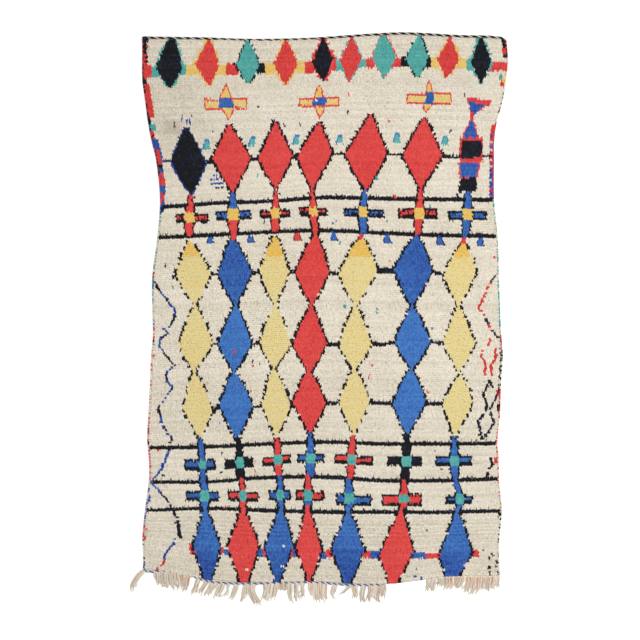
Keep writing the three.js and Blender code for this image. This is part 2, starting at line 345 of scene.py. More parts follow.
def thread(yarns, places, width=2.6):
    """A dashed line of knots from place to place, in wools taken at random, that lean along it."""
    for start, end in zip(places, places[1:]):
        run = np.subtract(end, start)
        tilt = np.degrees(np.arctan2(run[0], -run[1] if run[1] else 1))
        share = np.clip((line - start[1]) / (run[1] or 1), 0, 1)
        away = abs(column - (start[0] + share * run[0]))
        low, high = sorted((start[1], end[1]))
        where = (line > low - ROW / 2) & (line <= high + ROW / 2) & (away < width / 2)
        where &= dice.random((ROWS, 1)) < THREAD_KEPT
        tie(where, str(dice.choice(yarns)), dice.uniform(*THREAD_DEPTHS))
        lean[where] = np.clip((tilt + 90) % 180 - 90, -THREAD_LEAN, THREAD_LEAN)
        lift[where] = EDGE_LIFT


# Row of small lozenges under the corded end: wool, edge, top, foot, left and right corners, width of the
# edge, and bulges of the upper and lower sides
SMALL_LOZENGES = (
    ("black", "turquoise", (172.5, 37), (170.5, 87), (155.6, 67.6), (182.5, 67.6), 1.6, (0.62, 0.7)),
    ("red", "yellow", (209.5, 37), (209.5, 85), (195, 64), (219.4, 65), 1.5, (0.95, 0.75)),
    ("turquoise", "black", (248, 38.5), (249, 84), (235.8, 64), (259.4, 64), 1.2, (0.95, 0.8)),
    ("red", "yellow", (286, 38), (286, 85), (273.3, 64), (297.8, 64), 1.6, (0.95, 0.8)),
    ("black", "red", (323, 36.5), (324, 81), (311.7, 63), (333, 59), 2.0, (0.9, 0.8)),
    ("red", "turquoise", (351.5, 35.5), (349, 81), (339.4, 61), (361.7, 59), 0.9, (0.9, 0.8)),
    ("turquoise", "red", (383, 34), (384, 78), (372, 57.5), (395.6, 58), 1.0, (0.62, 0.8)),
    ("turquoise", "black", (419.5, 34.5), (418, 77.4), (405, 58.7), (427.5, 58.7), 1.1, (0.7, 0.8)),
    ("red", "yellow", (450.5, 36.5), (446, 78), (437, 58), (459, 60.6), 1.7, (0.9, 0.8)),
    ("black", "turquoise", (480.5, 37), (481, 83), (470.6, 61.7), (491, 62.7), 1.6, (0.7, 0.8)),
)
# Bars between them, which rise towards the right: wool, columns and lines
SMALL_BARS = (
    ("red", (143, 152), (65.5, 78)), ("turquoise", (152, 160), (66, 77)),
    ("turquoise", (176, 186), (64.5, 76)), ("yellow", (186, 198), (64.5, 75.5)),
    ("yellow", (216, 226), (64, 75)), ("red", (226, 239), (63.5, 75)), ("black", (256, 265), (63, 74)),
    ("yellow", (265, 275), (63, 74.5)), ("yellow", (295, 305), (62, 73)), ("red", (305, 314), (61.5, 73)),
    ("red", (330, 336), (60, 70)), ("turquoise", (336, 342), (59.5, 70)),
    ("turquoise", (359, 366), (58.5, 68)), ("red", (366, 374), (58, 68)),
    ("red", (393, 401), (57.5, 66.5)), ("black", (401, 407), (57, 66)), ("black", (425, 431), (57.5, 68)),
    ("yellow", (431, 439), (57.5, 68.5)), ("yellow", (457, 466), (58.5, 69)),
    ("turquoise", (466, 473), (59, 70)), ("red", (489, 509), (62, 71)),
)
GOLD = 0.25  # depth of the first yellow vat, which came out golden
BRIGHT_RED = 0.35
for yarn, columns, lines in SMALL_BARS:
    block(yarn, columns, lines, {"black": BLACK_DEPTH, "yellow": GOLD, "red": BRIGHT_RED}.get(yarn, 0.5))
for yarn, edge, top, foot, left, right, edge_width, bulge in SMALL_LOZENGES:
    lozenge(yarn, edge, top, foot, left, right, {"black": BLACK_DEPTH, "red": BRIGHT_RED}.get(yarn, 0.45),
            GOLD if edge == "yellow" else plain_depth(edge), edge_width, 0.2, bulge, 1.5)

# Yellow flowers with red edges and blue hearts: the outlines of heart and petals, then the outer column and
# lines of each arm
FLOWERS = (
    ([(219, 98.4), (230.5, 98), (234, 104), (233.5, 108), (219, 108)],
     [(218.8, 99), (222, 91), (226.2, 83.5), (229.4, 90), (232.5, 99)],
     [(219.3, 107), (235.2, 107), (231.9, 115), (228.7, 122), (225.4, 115)], (204.4, 98.6, 109.4),
     (247.2, 98.2, 109)),
    ([(311.6, 101), (317, 97.8), (325.4, 97.4), (326.9, 101.5), (325, 106), (312.6, 106)],
     [(311.8, 99), (315.3, 93), (316.2, 88), (319.9, 84.6), (322.4, 89), (323.6, 94), (324.4, 99)],
     [(313.2, 105), (326.6, 105), (323.5, 113), (319.4, 119), (316.6, 113)], (298.6, 98.2, 107),
     (339, 97, 107)),
    ([(427, 92), (433.4, 92), (433, 103.8), (424.5, 103.8)],
     [(425.2, 93), (425.9, 87), (428.2, 79.5), (431.4, 86), (433.4, 93)],
     [(422.6, 103), (432.6, 103), (430.5, 108), (425, 113.6), (422.6, 108)], (406, 93.2, 104),
     (451.4, 92.4, 104.6)),
)
PETAL_EDGE = 1.3
ARM_EDGE = (2.2, 2.0, 1.3)  # red above, below and at the end of a flower's arm
for heart, upper_petal, lower_petal, left_arm, right_arm in FLOWERS:
    middle = sum(corner[0] for corner in heart) / len(heart)
    for outer, *lines in (left_arm, right_arm):
        arm("yellow", "red", (outer, middle), lines, ARM_EDGE)
    patch("yellow", upper_petal, 0.3, "red", PETAL_EDGE)
    patch("yellow", lower_petal, 0.3, "red", PETAL_EDGE)
    patch("blue", heart, 0.4)

# A jar beside the flowers, of five patches with red seams, on a blue foot
patch("red", [(465.8, 96.4), (490.8, 101), (490.4, 105), (485, 105.4), (466.6, 101)], 0.3)
patch("blue", [(467, 100.2), (487, 104.6), (473.2, 116), (470.4, 114.5)], 0.3, "red", 0.8)
patch("red", [(470, 112), (473, 112), (473.6, 121), (469.4, 121)], 0.3)
patch("blue", [(470.2, 118), (472.8, 118), (479, 139), (460.6, 139)], 0.25, "red", 1.1)
block("red", (459, 482.4), (137.4, 162), 0.3)
patch("black", [(461.4, 141), (480, 140.4), (482.4, 146), (480.6, 157.6), (460.6, 158)], BLACK_DEPTH)
patch("blue", [(457.6, 161.6), (480.4, 161.6), (476.8, 178.4), (459, 178.4)], 0.4, "red", 1.4)
patch("black", [(460.6, 177.8), (475.8, 177.8), (477.4, 185), (475, 192), (459.6, 192), (457.6, 187)],
      BLACK_DEPTH)
thread(("black",), ((459, 190), (457.2, 198)))

# Large lozenges of the next row, the black links between them, and a small turquoise tent between each two.
# The upper edges of the first are so deep a blue that they are almost black.
LARGE_LOZENGES = (
    ("black", "blue", (186, 126.5), (191.6, 194.5), (170.8, 161.5), (206, 163), (0.85, 0.8)),
    ("red", "black", (228.6, 123.5), (232.4, 193), (212.8, 159), (250.4, 157.5), (0.95, 0.95)),
    ("red", "black", (275.4, 120.5), (275.8, 189.5), (258.2, 158.5), (292.5, 155.5), (1.0, 0.95)),
    ("red", "black", (319.4, 121), (312, 189.5), (297, 157), (331.6, 152.5), (0.95, 0.95)),
    ("red", "black", (370.6, 113.5), (365.4, 190.5), (345, 155), (386.6, 153), (0.95, 0.9)),
    ("red", "black", (424, 117.5), (420.6, 188.5), (402, 156), (441.4, 155.5), (0.9, 0.95)),
)
for start, end, thick in (
    ((205, 161.5), (214, 161), 4.5), ((250, 159), (259, 158.5), 4.8), ((292, 156.5), (298, 157), 3),
    ((331, 153.5), (346, 154.5), 2.6), ((386, 153.5), (403, 155.5), 2.4), ((441, 156), (460, 157), 2.8),
    ((482, 155.5), (493, 157), 2.2), ((163, 161.4), (171, 161.4), 1.8),
):
    black_row(start, end, thick)
for yarn, edge, top, foot, left, right, bulge in LARGE_LOZENGES:
    lozenge(yarn, edge, top, foot, left, right, plain_depth(yarn), 0.0, EDGE if edge == "black" else 1.1,
            bulge=bulge)

# The blue edge of the first lozenge, where most of the knots are in faded black
FADED_LINES = (127, 158)
FADED_COLUMN = 210
FADED_SHARE = 0.65
deep_edge = (wool == "blue") & (line > FADED_LINES[0]) & (line < FADED_LINES[1])
deep_edge &= dice.random(line.shape) < FADED_SHARE
tie(deep_edge & (column < FADED_COLUMN), "black", 1.0)

# Small blue tents with a turquoise lining, between the large lozenges
for middle, at_line in ((206.2, 144), (251.8, 141), (295.5, 140), (339, 139), (396.2, 138.2), (444.2, 140)):
    tent = [(middle - 1.4, at_line - 5), (middle + 2.8, at_line - 5), (middle + 4, at_line + 4.8),
            (middle - 4.2, at_line + 4.8)]
    patch("blue", tent, 0.75)
    lining = [(middle - 0.4, at_line - 2.6), (middle + 2.6, at_line - 3.6), (middle + 3.8, at_line + 4.8),
              (middle - 2.8, at_line + 4.8)]
    patch("turquoise", lining, 0.75)

# The black rows that bound the three bands of crosses
for middle_row in (34.5, 50.5, 68.5, 172.5, 188.5):
    where = np.broadcast_to(abs(np.arange(ROWS) - middle_row)[:, None] < 1, line.shape)
    tie(where, "black", 0.0)
    trim_row(where)

# The main field: three rows of seven lozenges. Each is its top, foot, left and right corner.
MAIN_COLUMNS = (
    ("yellow", ((189, 240.5), (195.2, 304), (176.2, 275), (211, 273)),
     ((195.2, 304), (194.4, 371), (178.4, 344.5), (213, 343)),
     ((194.6, 371), (200, 438), (183.6, 408), (212.4, 411))),
    ("blue", ((232, 237), (236, 304), (218.6, 274), (251.6, 272)),
     ((236, 304), (234.6, 371), (218, 343), (251.4, 343)),
     ((234.4, 371), (237, 439), (219.6, 405), (252.6, 406))),
    ("yellow", ((275, 235), (275, 304), (259.8, 271), (289, 271)),
     ((275, 304), (273.8, 368), (259.6, 342), (291, 343.5)),
     ((273.8, 368), (276.6, 435), (262, 405), (291, 406))),
    ("red", ((315.6, 233.5), (311.8, 304), (295.6, 271.5), (328.8, 271)),
     ((310.8, 304), (309.6, 372), (292.8, 344), (326.6, 343.5)),
     ((309, 370), (310.6, 433), (293, 402), (325.6, 402))),
    ("yellow", ((361, 236), (356, 304), (338.6, 274), (377, 269)),
     ((355.4, 304), (354.6, 370), (338.6, 344), (371.2, 344)),
     ((354.4, 369), (353.4, 434), (339, 402), (369.8, 400.5))),
    ("blue", ((416.6, 235), (411.6, 305), (394, 269.5), (432, 270)),
     ((412, 305), (411.8, 369), (394.4, 342), (430.2, 341)),
     ((411.6, 369), (406.8, 434), (392.6, 403), (425.6, 402))),
    ("yellow", ((463, 242), (458, 305), (443.6, 274.5), (476.4, 271)),
     ((458, 305), (459, 371), (443, 342), (475, 342.5)),
     ((461, 374), (454, 436), (443, 403), (472.4, 402))),
)
MAIN_BULGES = ((0.78, 0.8), (0.85, 0.85), (0.72, 0.9))
MAIN_DEPTHS = {"yellow": (0.9, 0.9, 0.95), "blue": (0.4, 0.72, 0.75), "red": (0.5, 0.5, 0.55)}
LINK_THICK = (
    (3.2, 3.8, 3.0, 2.8, 6.0, 3.6), (3.4, 3.8, 3.2, 3.0, 3.6, 3.8), (3.6, 3.2, 3.4, 3.4, 4.2, 3.4),
)
for level in range(3):
    for number, thick in enumerate(LINK_THICK[level]):
        start = MAIN_COLUMNS[number][1 + level][3]
        end = MAIN_COLUMNS[number + 1][1 + level][2]
        black_row((start[0] - 0.5, start[1] + 0.8), (end[0] + 0.5, end[1] + 0.4), thick)
GOLDEN_LINES = (236, 256.5)  # the golden tops of the yellow columns
GOLDEN_REACH = 16
GOLDEN_DEPTH = 0.1
for yarn, *three in MAIN_COLUMNS:
    for corners, dye_depth, bulge in zip(three, MAIN_DEPTHS[yarn], MAIN_BULGES):
        missing = 0.3 if yarn == "yellow" else 0.04
        lozenge(yarn, "black", *corners, dye_depth, 0.0, EDGE, missing, bulge, 1.2)
    if yarn == "yellow":
        golden = (wool == "yellow") & (abs(column - three[0][0][0]) < GOLDEN_REACH)
        golden &= (line > GOLDEN_LINES[0]) & (line < GOLDEN_LINES[1])
        depth[golden] = GOLDEN_DEPTH

# First band of crosses, with golden hearts
for details in (
    (("red", "red", "red"), (191, 193.5, 3), (184.6, 195.4, 212, 222.4), (188.6, 236, 5),
     (176, 213.4, 222.6), (209, 213, 222.6)),
    (("blue", "red", "blue"), (232.4, 192, 3), (227.6, 239.6, 208.4, 220.4), (233.4, 239, 4),
     (216, 210.8, 221), (251.4, 210, 219.8)),
    (("red", "red", "red"), (275.8, 190, 2), (271, 280.4, 207.8, 217.6), (274.8, 232, 6),
     (260, 209.8, 218.2), (290.6, 208.8, 217.4)),
    (("red", "red", "red"), (312, 189, 2), (309.4, 318.2, 207, 215.4), (315, 234.6, 4),
     (299.4, 206, 215.8), (327.6, 207, 215.6)),
    (("blue", "blue", "blue"), (365, 190, 3), (358.4, 367.8, 207, 217.6), (362.8, 233, 5.5),
     (343.4, 207.2, 216.6), (384, 208.6, 217.6)),
    (("red", "red", "red"), (420.4, 187, 2), (414, 424.6, 208, 218.6), (416.8, 235, 5),
     (398, 208.4, 218.6), (437.6, 208, 218.6)),
    (("blue", "blue", "blue"), (467.6, 191.5, 5), (462.4, 472.6, 209, 220.4), (464, 237, 4),
     (448, 210, 220.6), (487, 210, 220.6)),
):
    yarns, top, heart, foot, left_arm, right_arm = details
    cross(yarns, "yellow", top, heart, foot, left_arm, right_arm, 0.15, 0.3)

# Red tips over the last two yellow lozenges, and tassels that hang under the first band: wool, column, line
# of the top and height
patch("red", [(359.4, 233), (362.8, 233), (364, 239), (358, 239)], 0.2)
patch("red", [(461.4, 237.5), (465, 237.5), (466.4, 243), (460, 243)], 0.2)
for yarn, middle, top_line, height in (
    ("blue", 210.4, 237, 6.6), ("blue", 250.6, 235.4, 7), ("red", 297.2, 232, 8.6),
    ("blue", 333.6, 231.5, 9.6), ("blue", 387.2, 234, 9.6), ("blue", 439.6, 236, 8.6),
    ("blue", 480, 237.4, 8.8),
):
    foot_line = top_line + height
    for strand, dye_depth, neck, flare in (("black", 0.3, 2, 4.6), (yarn, 0.45, 1.8, 3.2)):
        left = [(middle - flare, foot_line), (middle - neck, top_line)]
        right = [(middle + neck, top_line), (middle + flare, foot_line)]
        patch(strand, left + right, dye_depth)

# Two more bands of crosses, with turquoise hearts
for details in (
    (("blue", "blue", "blue"), (200.2, 437, 3), (198.6, 206.4, 459.6, 468.4), (203.4, 482, 5),
     (184.4, 459.2, 469.8), (215.8, 458.8, 469)),
    (("black", "black", "black"), (238, 437, 4), (235.6, 244, 456.4, 467.6), (240.6, 480, 5.5),
     (224.4, 458, 468), (253.4, 456.4, 467)),
    (("red", "red", "red"), (277, 437, 4), (273.2, 282.4, 453.8, 464.4), (278.8, 475, 6),
     (262.4, 456.2, 465.6), (290.4, 453.4, 463.4)),
    (("blue", "blue", "blue"), (310.4, 432, 3), (305.4, 315.6, 452.4, 462.8), (310, 476, 7.5),
     (297, 453.6, 462.2), (324.2, 453.8, 461.8)),
    (("red", "red", "red"), (353, 434, 3), (346.8, 356, 454, 464.6), (350, 479, 5.5), (334, 453.4, 463.4),
     (373, 455.6, 465.2)),
    (("black", "black", "black"), (406.8, 433, 4), (400.6, 411.6, 456, 466), (404, 481, 6),
     (387, 456, 465), (421.6, 455, 465.8)),
    (("blue", "blue", "blue"), (453.8, 436, 3.5), (449, 458.8, 456, 466), (455.4, 481, 4),
     (435, 455.4, 465.2), (471.4, 454.4, 465.2)),
    (("blue", "blue", "blue"), (203.6, 482, 5), (199.8, 209.4, 490, 501.6), (204.8, 513, 6),
     (185.6, 490.6, 500.6), (219, 490.4, 500.8)),
    (("red", "red", "red"), (241.4, 477, 2.5), (239, 246.8, 490, 500.2), (243, 513, 6),
     (228, 489.6, 500.2), (258.6, 491.4, 500.8)),
    (("blue", "blue", "blue"), (279.4, 475, 3.5), (276.4, 284.2, 489.8, 499), (281, 513, 5),
     (268.4, 490, 500.2), (290.8, 488.6, 500)),
    (("red", "blue", "red"), (307.6, 474, 4), (303, 312.6, 489.8, 499.4), (308.4, 511, 5.5),
     (295.6, 489, 500.2), (324.2, 490.4, 500.6)),
    (("blue", "blue", "blue"), (347.8, 478, 4), (343.8, 354.6, 492, 502.2), (348.4, 513, 4),
     (335.6, 493, 504.4), (371.6, 494.4, 505.6)),
    (("red", "red", "red"), (403.6, 479, 3), (398, 409.2, 494.2, 502.4), (402.6, 512, 4),
     (381.4, 494, 506.2), (421.6, 492.8, 506.2)),
    (("blue", "blue", "blue"), (455.6, 481, 4), (455, 464.2, 494, 503.2), (457, 514, 4.5),
     (445, 495, 503), (472.2, 494.4, 502.8)),
):
    yarns, top, heart, foot, left_arm, right_arm = details
    cross(yarns, "turquoise", top, heart, foot, left_arm, right_arm, 0.6)

# Last row of lozenges by the fringed end, with short bars between them
for yarn, columns, lines in (
    ("red", (190, 198), (542, 555)), ("red", (217, 224), (547, 553.5)),
    ("blue", (223.5, 231), (548.5, 555.4)), ("blue", (257, 263), (547.4, 555.6)),
    ("red", (263, 269), (547, 555.4)), ("red", (289, 294), (546.4, 556.4)),
    ("blue", (293.4, 299), (543.4, 556.4)), ("blue", (319, 326.2), (550.2, 557.8)),
    ("red", (326.2, 334), (549, 557.4)), ("red", (362, 371), (549.4, 557.4)),
    ("blue", (370.8, 382), (549.8, 558.2)), ("blue", (410, 425.2), (551.4, 558.2)),
    ("red", (425.2, 442), (552, 557.8)), ("red", (469, 478.4), (549, 555.8)),
):
    block(yarn, columns, lines, 0.45)
for yarn, *corners in (
    ("blue", (205, 506), (207.9, 588), (193.8, 546), (220.4, 546)),
    ("red", (243, 506), (244.4, 592), (228.2, 547), (258.8, 545)),
    ("blue", (281, 505), (277, 586), (265.2, 546), (293, 545)),
    ("red", (307.2, 504), (309.2, 583), (296.4, 548), (321.6, 549)),
    ("blue", (348, 508), (346.8, 589), (332, 549), (364.2, 549)),
    ("red", (401, 506), (391.8, 591), (379.8, 555), (412.8, 551)),
    ("blue", (457, 508), (450.6, 591), (439.4, 556), (471.4, 551)),
):
    lozenge(yarn, "black", *corners, 0.68, 0.0, EDGE, 0.12, (0.95, 1.0), 1.8)
LOW_BLUE_LINE = 549.5  # past this line the blue is of a deeper dye
LOW_BLUE_DEPTH = 0.4
depth[(wool == "blue") & (line > LOW_BLUE_LINE)] = LOW_BLUE_DEPTH
block("black", (398.4, 401.6), (577, 586), 0.0)
block("black", (459, 463), (570.4, 577), 0.0)

# Threads of single knots down both sides: wools and places
for yarns, places in (
    (("blue", "black", "blue"),
     ((155, 281), (157, 286), (161, 292), (167, 298), (170, 304), (175.6, 310), (175, 315), (173, 320),
      (170, 326), (164, 329), (168.4, 333), (161, 338), (159.6, 343), (159.4, 347), (164, 352),
      (168, 357), (172, 362), (175, 365), (172, 368), (167.6, 371), (166.4, 376), (167.4, 381),
      (173.4, 387.4), (169.6, 391), (166, 398), (160, 404.6), (158.4, 409), (161.6, 418), (161, 421),
      (164, 427), (168, 433), (173, 438), (170.4, 442), (171.6, 447), (169, 450), (167, 456),
      (163.6, 463), (161, 469), (157, 475), (151.4, 481))),
    (("blue", "black", "blue"),
     ((151, 482), (155, 486), (160, 491), (165, 497), (169, 502), (174, 511), (177, 517))),
    (("red", "blue"),
     ((175.4, 538), (173.6, 543), (168, 549.6), (164.4, 556), (164.6, 560), (162.6, 564), (156, 570))),
    (("black", "red", "red"), ((494.6, 276), (490, 282), (486, 292), (481, 303), (478.4, 307))),
    (("black", "red", "black"), ((479, 309), (484, 315), (488, 324), (492, 331), (498, 337))),
    (("red",), ((490, 338), (488.4, 344))),
    (("red",), ((482.6, 351), (481, 357), (484, 361), (486, 366), (484.4, 371), (485, 375))),
    (("red",), ((495, 349), (496, 357), (490.6, 365), (492, 375))),
    (("black",),
     ((490, 378), (487, 386), (483, 393), (485, 400), (487, 405), (485, 411), (478, 421), (480, 431),
      (481.4, 438))),
    (("black",), ((490.6, 380), (492.6, 387))),
    (("black",),
     ((497.6, 393), (493, 403), (490.2, 408), (491.4, 417), (494.4, 421), (489, 430), (484, 438))),
    (("black",), ((490, 458), (492, 463), (489.4, 468), (487, 473), (484, 479))),
):
    thread(yarns, places)
thread(("black",), ((177.4, 520), (178.6, 527), (179, 532), (180.8, 537)), 4)

# Wool left over from the overcasting, tied into the field's edges: which edge, lines, squares from the edge
# and wools
LEFT_OVERS = (
    (from_left, (34, 54), (0, 2.2), ("black",)), (from_left, (42, 53), (2.2, 4.6), ("red", "ivory")),
    (from_left, (54, 66), (0, 3.4), ("red", "black")), (from_left, (66, 78), (0, 8), ("red",)),
    (from_left, (78, 84), (0, 2.6), ("black", "red")), (from_left, (84, 108), (0, 5), ("red",)),
    (from_left, (107, 117), (0, 5.4), ("red",)), (from_left, (117, 124), (0, 1.4), ("black",)),
    (from_left, (124, 130), (0, 5), ("turquoise",)), (from_left, (130, 139), (0, 2.4), ("black", "red")),
    (from_left, (139, 149), (0, 5), ("blue",)), (from_left, (149, 162), (0, 3.4), ("red",)),
    (from_left, (149, 162), (3.4, 4.8), ("blue",)),
    (from_left, (162, 176), (0, 3.8), ("blue", "black", "red")),
    (from_left, (176, 186), (0, 4.2), ("red",)), (from_left, (186, 193), (0, 3.6), ("blue",)),
    (from_left, (193, 206), (0, 3), ("red", "blue")), (from_left, (206, 213), (0, 2), ("blue", "black")),
    (from_left, (527, 538), (0, 2.4), ("red", "ivory")),
    (from_left, (493, 503), (0, 1.6), ("blue", "ivory")), (from_right, (36, 48), (0, 3), ("black",)),
    (from_right, (48, 54), (0, 3.4), ("red", "black")), (from_right, (54, 58.5), (0, 3), ("black",)),
    (from_right, (74, 80), (2.4, 5.6), ("turquoise",)), (from_right, (77, 82), (0, 2.4), ("yellow",)),
    (from_right, (81, 85.5), (0, 3.4), ("red",)),
    (from_right, (124, 200), (0, 2.8), ("red", "blue", "blue", "ivory", "red")),
    (from_right, (338, 392), (0, 1.0), ("black", "ivory")), (from_right, (389, 396), (0, 3), ("red",)),
    (from_right, (403, 410), (0, 2), ("black",)), (from_right, (456, 462), (0, 2.6), ("red",)),
    (from_right, (509, 517), (-2, 1.6), ("black",)),
)
for inward, lines, reach, yarns in LEFT_OVERS:
    inside = (line > lines[0]) & (line < lines[1]) & (inward > reach[0]) & (inward < reach[1])
    for row in np.flatnonzero(inside.any(axis=1)):
        yarn = str(dice.choice(yarns))
        knots = inside[row] & (wool[row] == "ivory")
        tie((row, knots), yarn, BLACK_DEPTH if yarn == "black" else dice.uniform(0.0, 0.35))

# Odd ends that were knotted in or picked up in use: wool, depth, place, width and height in squares
FLECKS = (
    ("black", 0.6, (174.6, 124.6), 1.6, 5), ("blue", 0.1, (182, 118), 1.4, 8),
    ("blue", 0.1, (187, 121.6), 1.5, 5), ("blue", 0.1, (190, 121.8), 1.4, 5),
    ("black", 0.7, (191.4, 115.4), 1.4, 2), ("black", 0.8, (212, 130.6), 1.4, 2),
    ("black", 0.6, (284, 126), 1.4, 4), ("black", 0.6, (299.6, 125), 1.3, 3.6),
    ("black", 0.8, (258.6, 106.4), 1.6, 2), ("red", 0.9, (349, 94.4), 1.6, 4),
    ("black", 0.9, (347.6, 112.6), 1.5, 3.6), ("red", 0.1, (388.4, 121.6), 2.4, 2),
    ("black", 0.8, (450.6, 131.4), 1.8, 2.4), ("black", 0.8, (464.4, 95), 1.3, 2.4),
    ("blue", 0.0, (216.6, 176), 8, 1.8), ("blue", 0.1, (216, 180), 13, 1.8),
    ("blue", 0.2, (217, 183.6), 14, 1.8), ("black", 0.7, (221, 187.8), 13, 1.6),
    ("turquoise", 0.0, (257.6, 175), 2, 3), ("turquoise", 0.0, (376, 177), 2.4, 4.4),
    ("black", 0.9, (304, 195), 3, 2), ("black", 0.5, (265, 222.6), 1.2, 4),
    ("blue", 0.8, (333, 222.4), 1.8, 2.4), ("blue", 0.8, (337, 222.4), 1.8, 2.4),
    ("red", 0.4, (394.6, 197), 3, 4), ("black", 0.8, (387, 221), 1.6, 3),
    ("turquoise", 0.4, (430, 205), 1.5, 4.6), ("turquoise", 0.2, (345, 306), 3.6, 2.2),
    ("turquoise", 0.4, (340, 243), 1.4, 5), ("red", 0.7, (494, 257), 3, 1.8),
    ("red", 0.1, (390, 261), 1.6, 2), ("black", 0.7, (166, 265), 1.6, 4.6),
    ("black", 0.9, (173, 287), 1.6, 2), ("black", 0.3, (252.2, 361), 1.5, 4),
    ("red", 0.0, (252.6, 366), 2.4, 2), ("black", 0.5, (260, 363.6), 1.6, 3.4),
    ("red", 0.1, (235, 351), 1.8, 4), ("red", 0.7, (155, 356), 4, 2),
    ("turquoise", 0.3, (376.6, 311), 1.5, 6), ("red", 0.1, (372, 365), 2, 2),
    ("red", 0.5, (369, 376), 1.5, 5), ("blue", 0.7, (432, 328.4), 1.8, 2),
    ("red", 0.6, (427, 391.4), 1.6, 3), ("red", 0.1, (403.6, 361.6), 1.6, 2.4),
    ("black", 0.1, (251, 390), 1.6, 2.2), ("blue", 0.7, (220.6, 421.6), 2, 2.2),
    ("red", 0.2, (158.4, 450), 2, 3), ("black", 0.8, (222.4, 453), 2, 2.4),
    ("black", 0.4, (221.2, 471.6), 3.2, 2.2), ("red", 0.5, (255, 470), 1.6, 4),
    ("red", 0.2, (224.6, 507), 2.4, 4), ("black", 0.1, (442, 468), 2.2, 2),
    ("black", 0.7, (434.4, 450.4), 1.4, 4), ("ivory", 0.9, (247, 569), 3, 2),
    ("ivory", 0.9, (251.4, 548), 2, 2), ("ivory", 1.0, (284, 545), 2, 2),
    ("ivory", 0.9, (282, 564.6), 3.6, 1.8), ("blue", 0.1, (416, 568), 1.6, 2.6),
    ("blue", 0.2, (415.4, 575.4), 3, 1.8), ("blue", 0.2, (421, 576), 2.4, 1.8),
    ("black", 0.1, (492, 554.4), 2.6, 3), ("black", 0.1, (489, 557.6), 2, 4),
    ("black", 0.1, (496.6, 561), 3, 3.6), ("black", 0.1, (495, 566), 2, 3.6),
    ("black", 0.1, (497.6, 571), 2.4, 4), ("black", 0.1, (488.4, 567), 3, 3.6),
    ("black", 0.1, (490, 573), 2, 4), ("ivory", 1.0, (315.4, 100.6), 2.6, 2),
    ("black", 0.8, (484, 549), 2, 2), ("black", 0.1, (173.6, 276.4), 2.6, 3.6),
    ("black", 0.2, (163.4, 475.6), 4, 1.8), ("black", 0.7, (427, 529), 2.4, 1.8),
)
for yarn, dye_depth, place, width, height in FLECKS:
    tie((abs(column - place[0]) < width / 2) & (abs(line - place[1]) < height / 2), yarn, dye_depth)


def soft_patch(strength, middle, reach):
    """A patch that fades out all round. Its middle and reach are given across and along the chart."""
    across = (column - middle[0]) / reach[0]
    along = (line - middle[1]) / reach[1]
    return strength * np.exp(-across ** 2 - along ** 2)


# Ivory wool that is stained in one spot and yellowed around it
stain = soft_patch(0.6, (173, 128), (9, 7))
yellowed = soft_patch(0.22, (165, 105), (55, 70))
depth[wool == "ivory"] -= (stain + yellowed)[wool == "ivory"]

# Bundles of tufts
# The ends of each knot stand up together as a tuft of hand-spun wool, leaning over the next row towards the
# corded end. The tufts are grouped by dye, since each dye is a yarn of its own.
TUFT_LENGTH = 16.5 * MM
RING_SHARES = np.array((0.0, 0.6))
RING_TOPS = np.array((8.6, 10.9)) * MM  # the rounded back of a tuft, at its root and where it is fullest
RING_FEET = np.array((3.4, 9.5)) * MM  # and its two sides
RING_HALF_WIDTHS = np.array((2.2, 3.3)) * MM
TIP_HEIGHT = 10.2 * MM
IVORY_BANDS = 3  # ivory is most of the pile, so it is made in bands across the rug
LEAN_SPREAD = 7  # degrees
LENGTHS = (0.88, 1.1)  # shares of a tuft's length
STRAY = np.array((0.5, 0.9, 0.25)) * MM  # across, along and up
UNEVEN_IVORY = 0.11  # how much the dye's depth differs from tuft to tuft
UNEVEN_DYED = 0.14
UNEVEN_ROWS = 0.08  # and from row to row
LOOSE_BEATEN_ROWS = 34  # by the fringed end, beaten less hard, so every second one is painted darker: painted shade of the gaps between the rows
ROW_GAP_SHADE = 0.12
MOTTLE = 0.035  # slow changes over the whole rug, and their sizes
MOTTLE_SIZES = (700 * MM, 900 * MM, 200 * MM, 370 * MM)

row_of = np.repeat(np.arange(ROWS), COLUMNS)
strand_lean = np.radians(lean.ravel() + dice.normal(0, LEAN_SPREAD, line.size))
strand_length = TUFT_LENGTH * cut.ravel() * dice.uniform(*LENGTHS, line.size)
strand_x = shown_x.ravel() - SHOWN_AHEAD * np.sin(strand_lean) + dice.normal(0, STRAY[0], line.size)
strand_y = shown_y.ravel() - SHOWN_AHEAD * np.cos(strand_lean) + dice.normal(0, STRAY[1], line.size)
strand_lift = lift.ravel() + dice.normal(0, STRAY[2], line.size)
tuft_spread = np.where(wool.ravel() == "ivory", UNEVEN_IVORY, UNEVEN_DYED)
row_tone = np.clip(dice.normal(0, UNEVEN_ROWS, ROWS), -2 * UNEVEN_ROWS, UNEVEN_ROWS)
# Painted shade: every second row by the fringed end is given a deeper dye, standing in for the shadowed
# gaps between rows beaten less hard
row_tone[:LOOSE_BEATEN_ROWS:2] -= ROW_GAP_SHADE
wave_x, wave_y, small_x, small_y = (2 * np.pi / size for size in MOTTLE_SIZES)
mottle = np.sin(wave_x * strand_x) * np.sin(wave_y * strand_y)
mottle += np.sin(small_x * strand_x + small_y * strand_y)
strand_depth = depth.ravel() + row_tone[row_of] + tuft_spread * dice.normal(0, 1, line.size)
strand_depth = np.clip(strand_depth + MOTTLE * mottle, 0, 1)


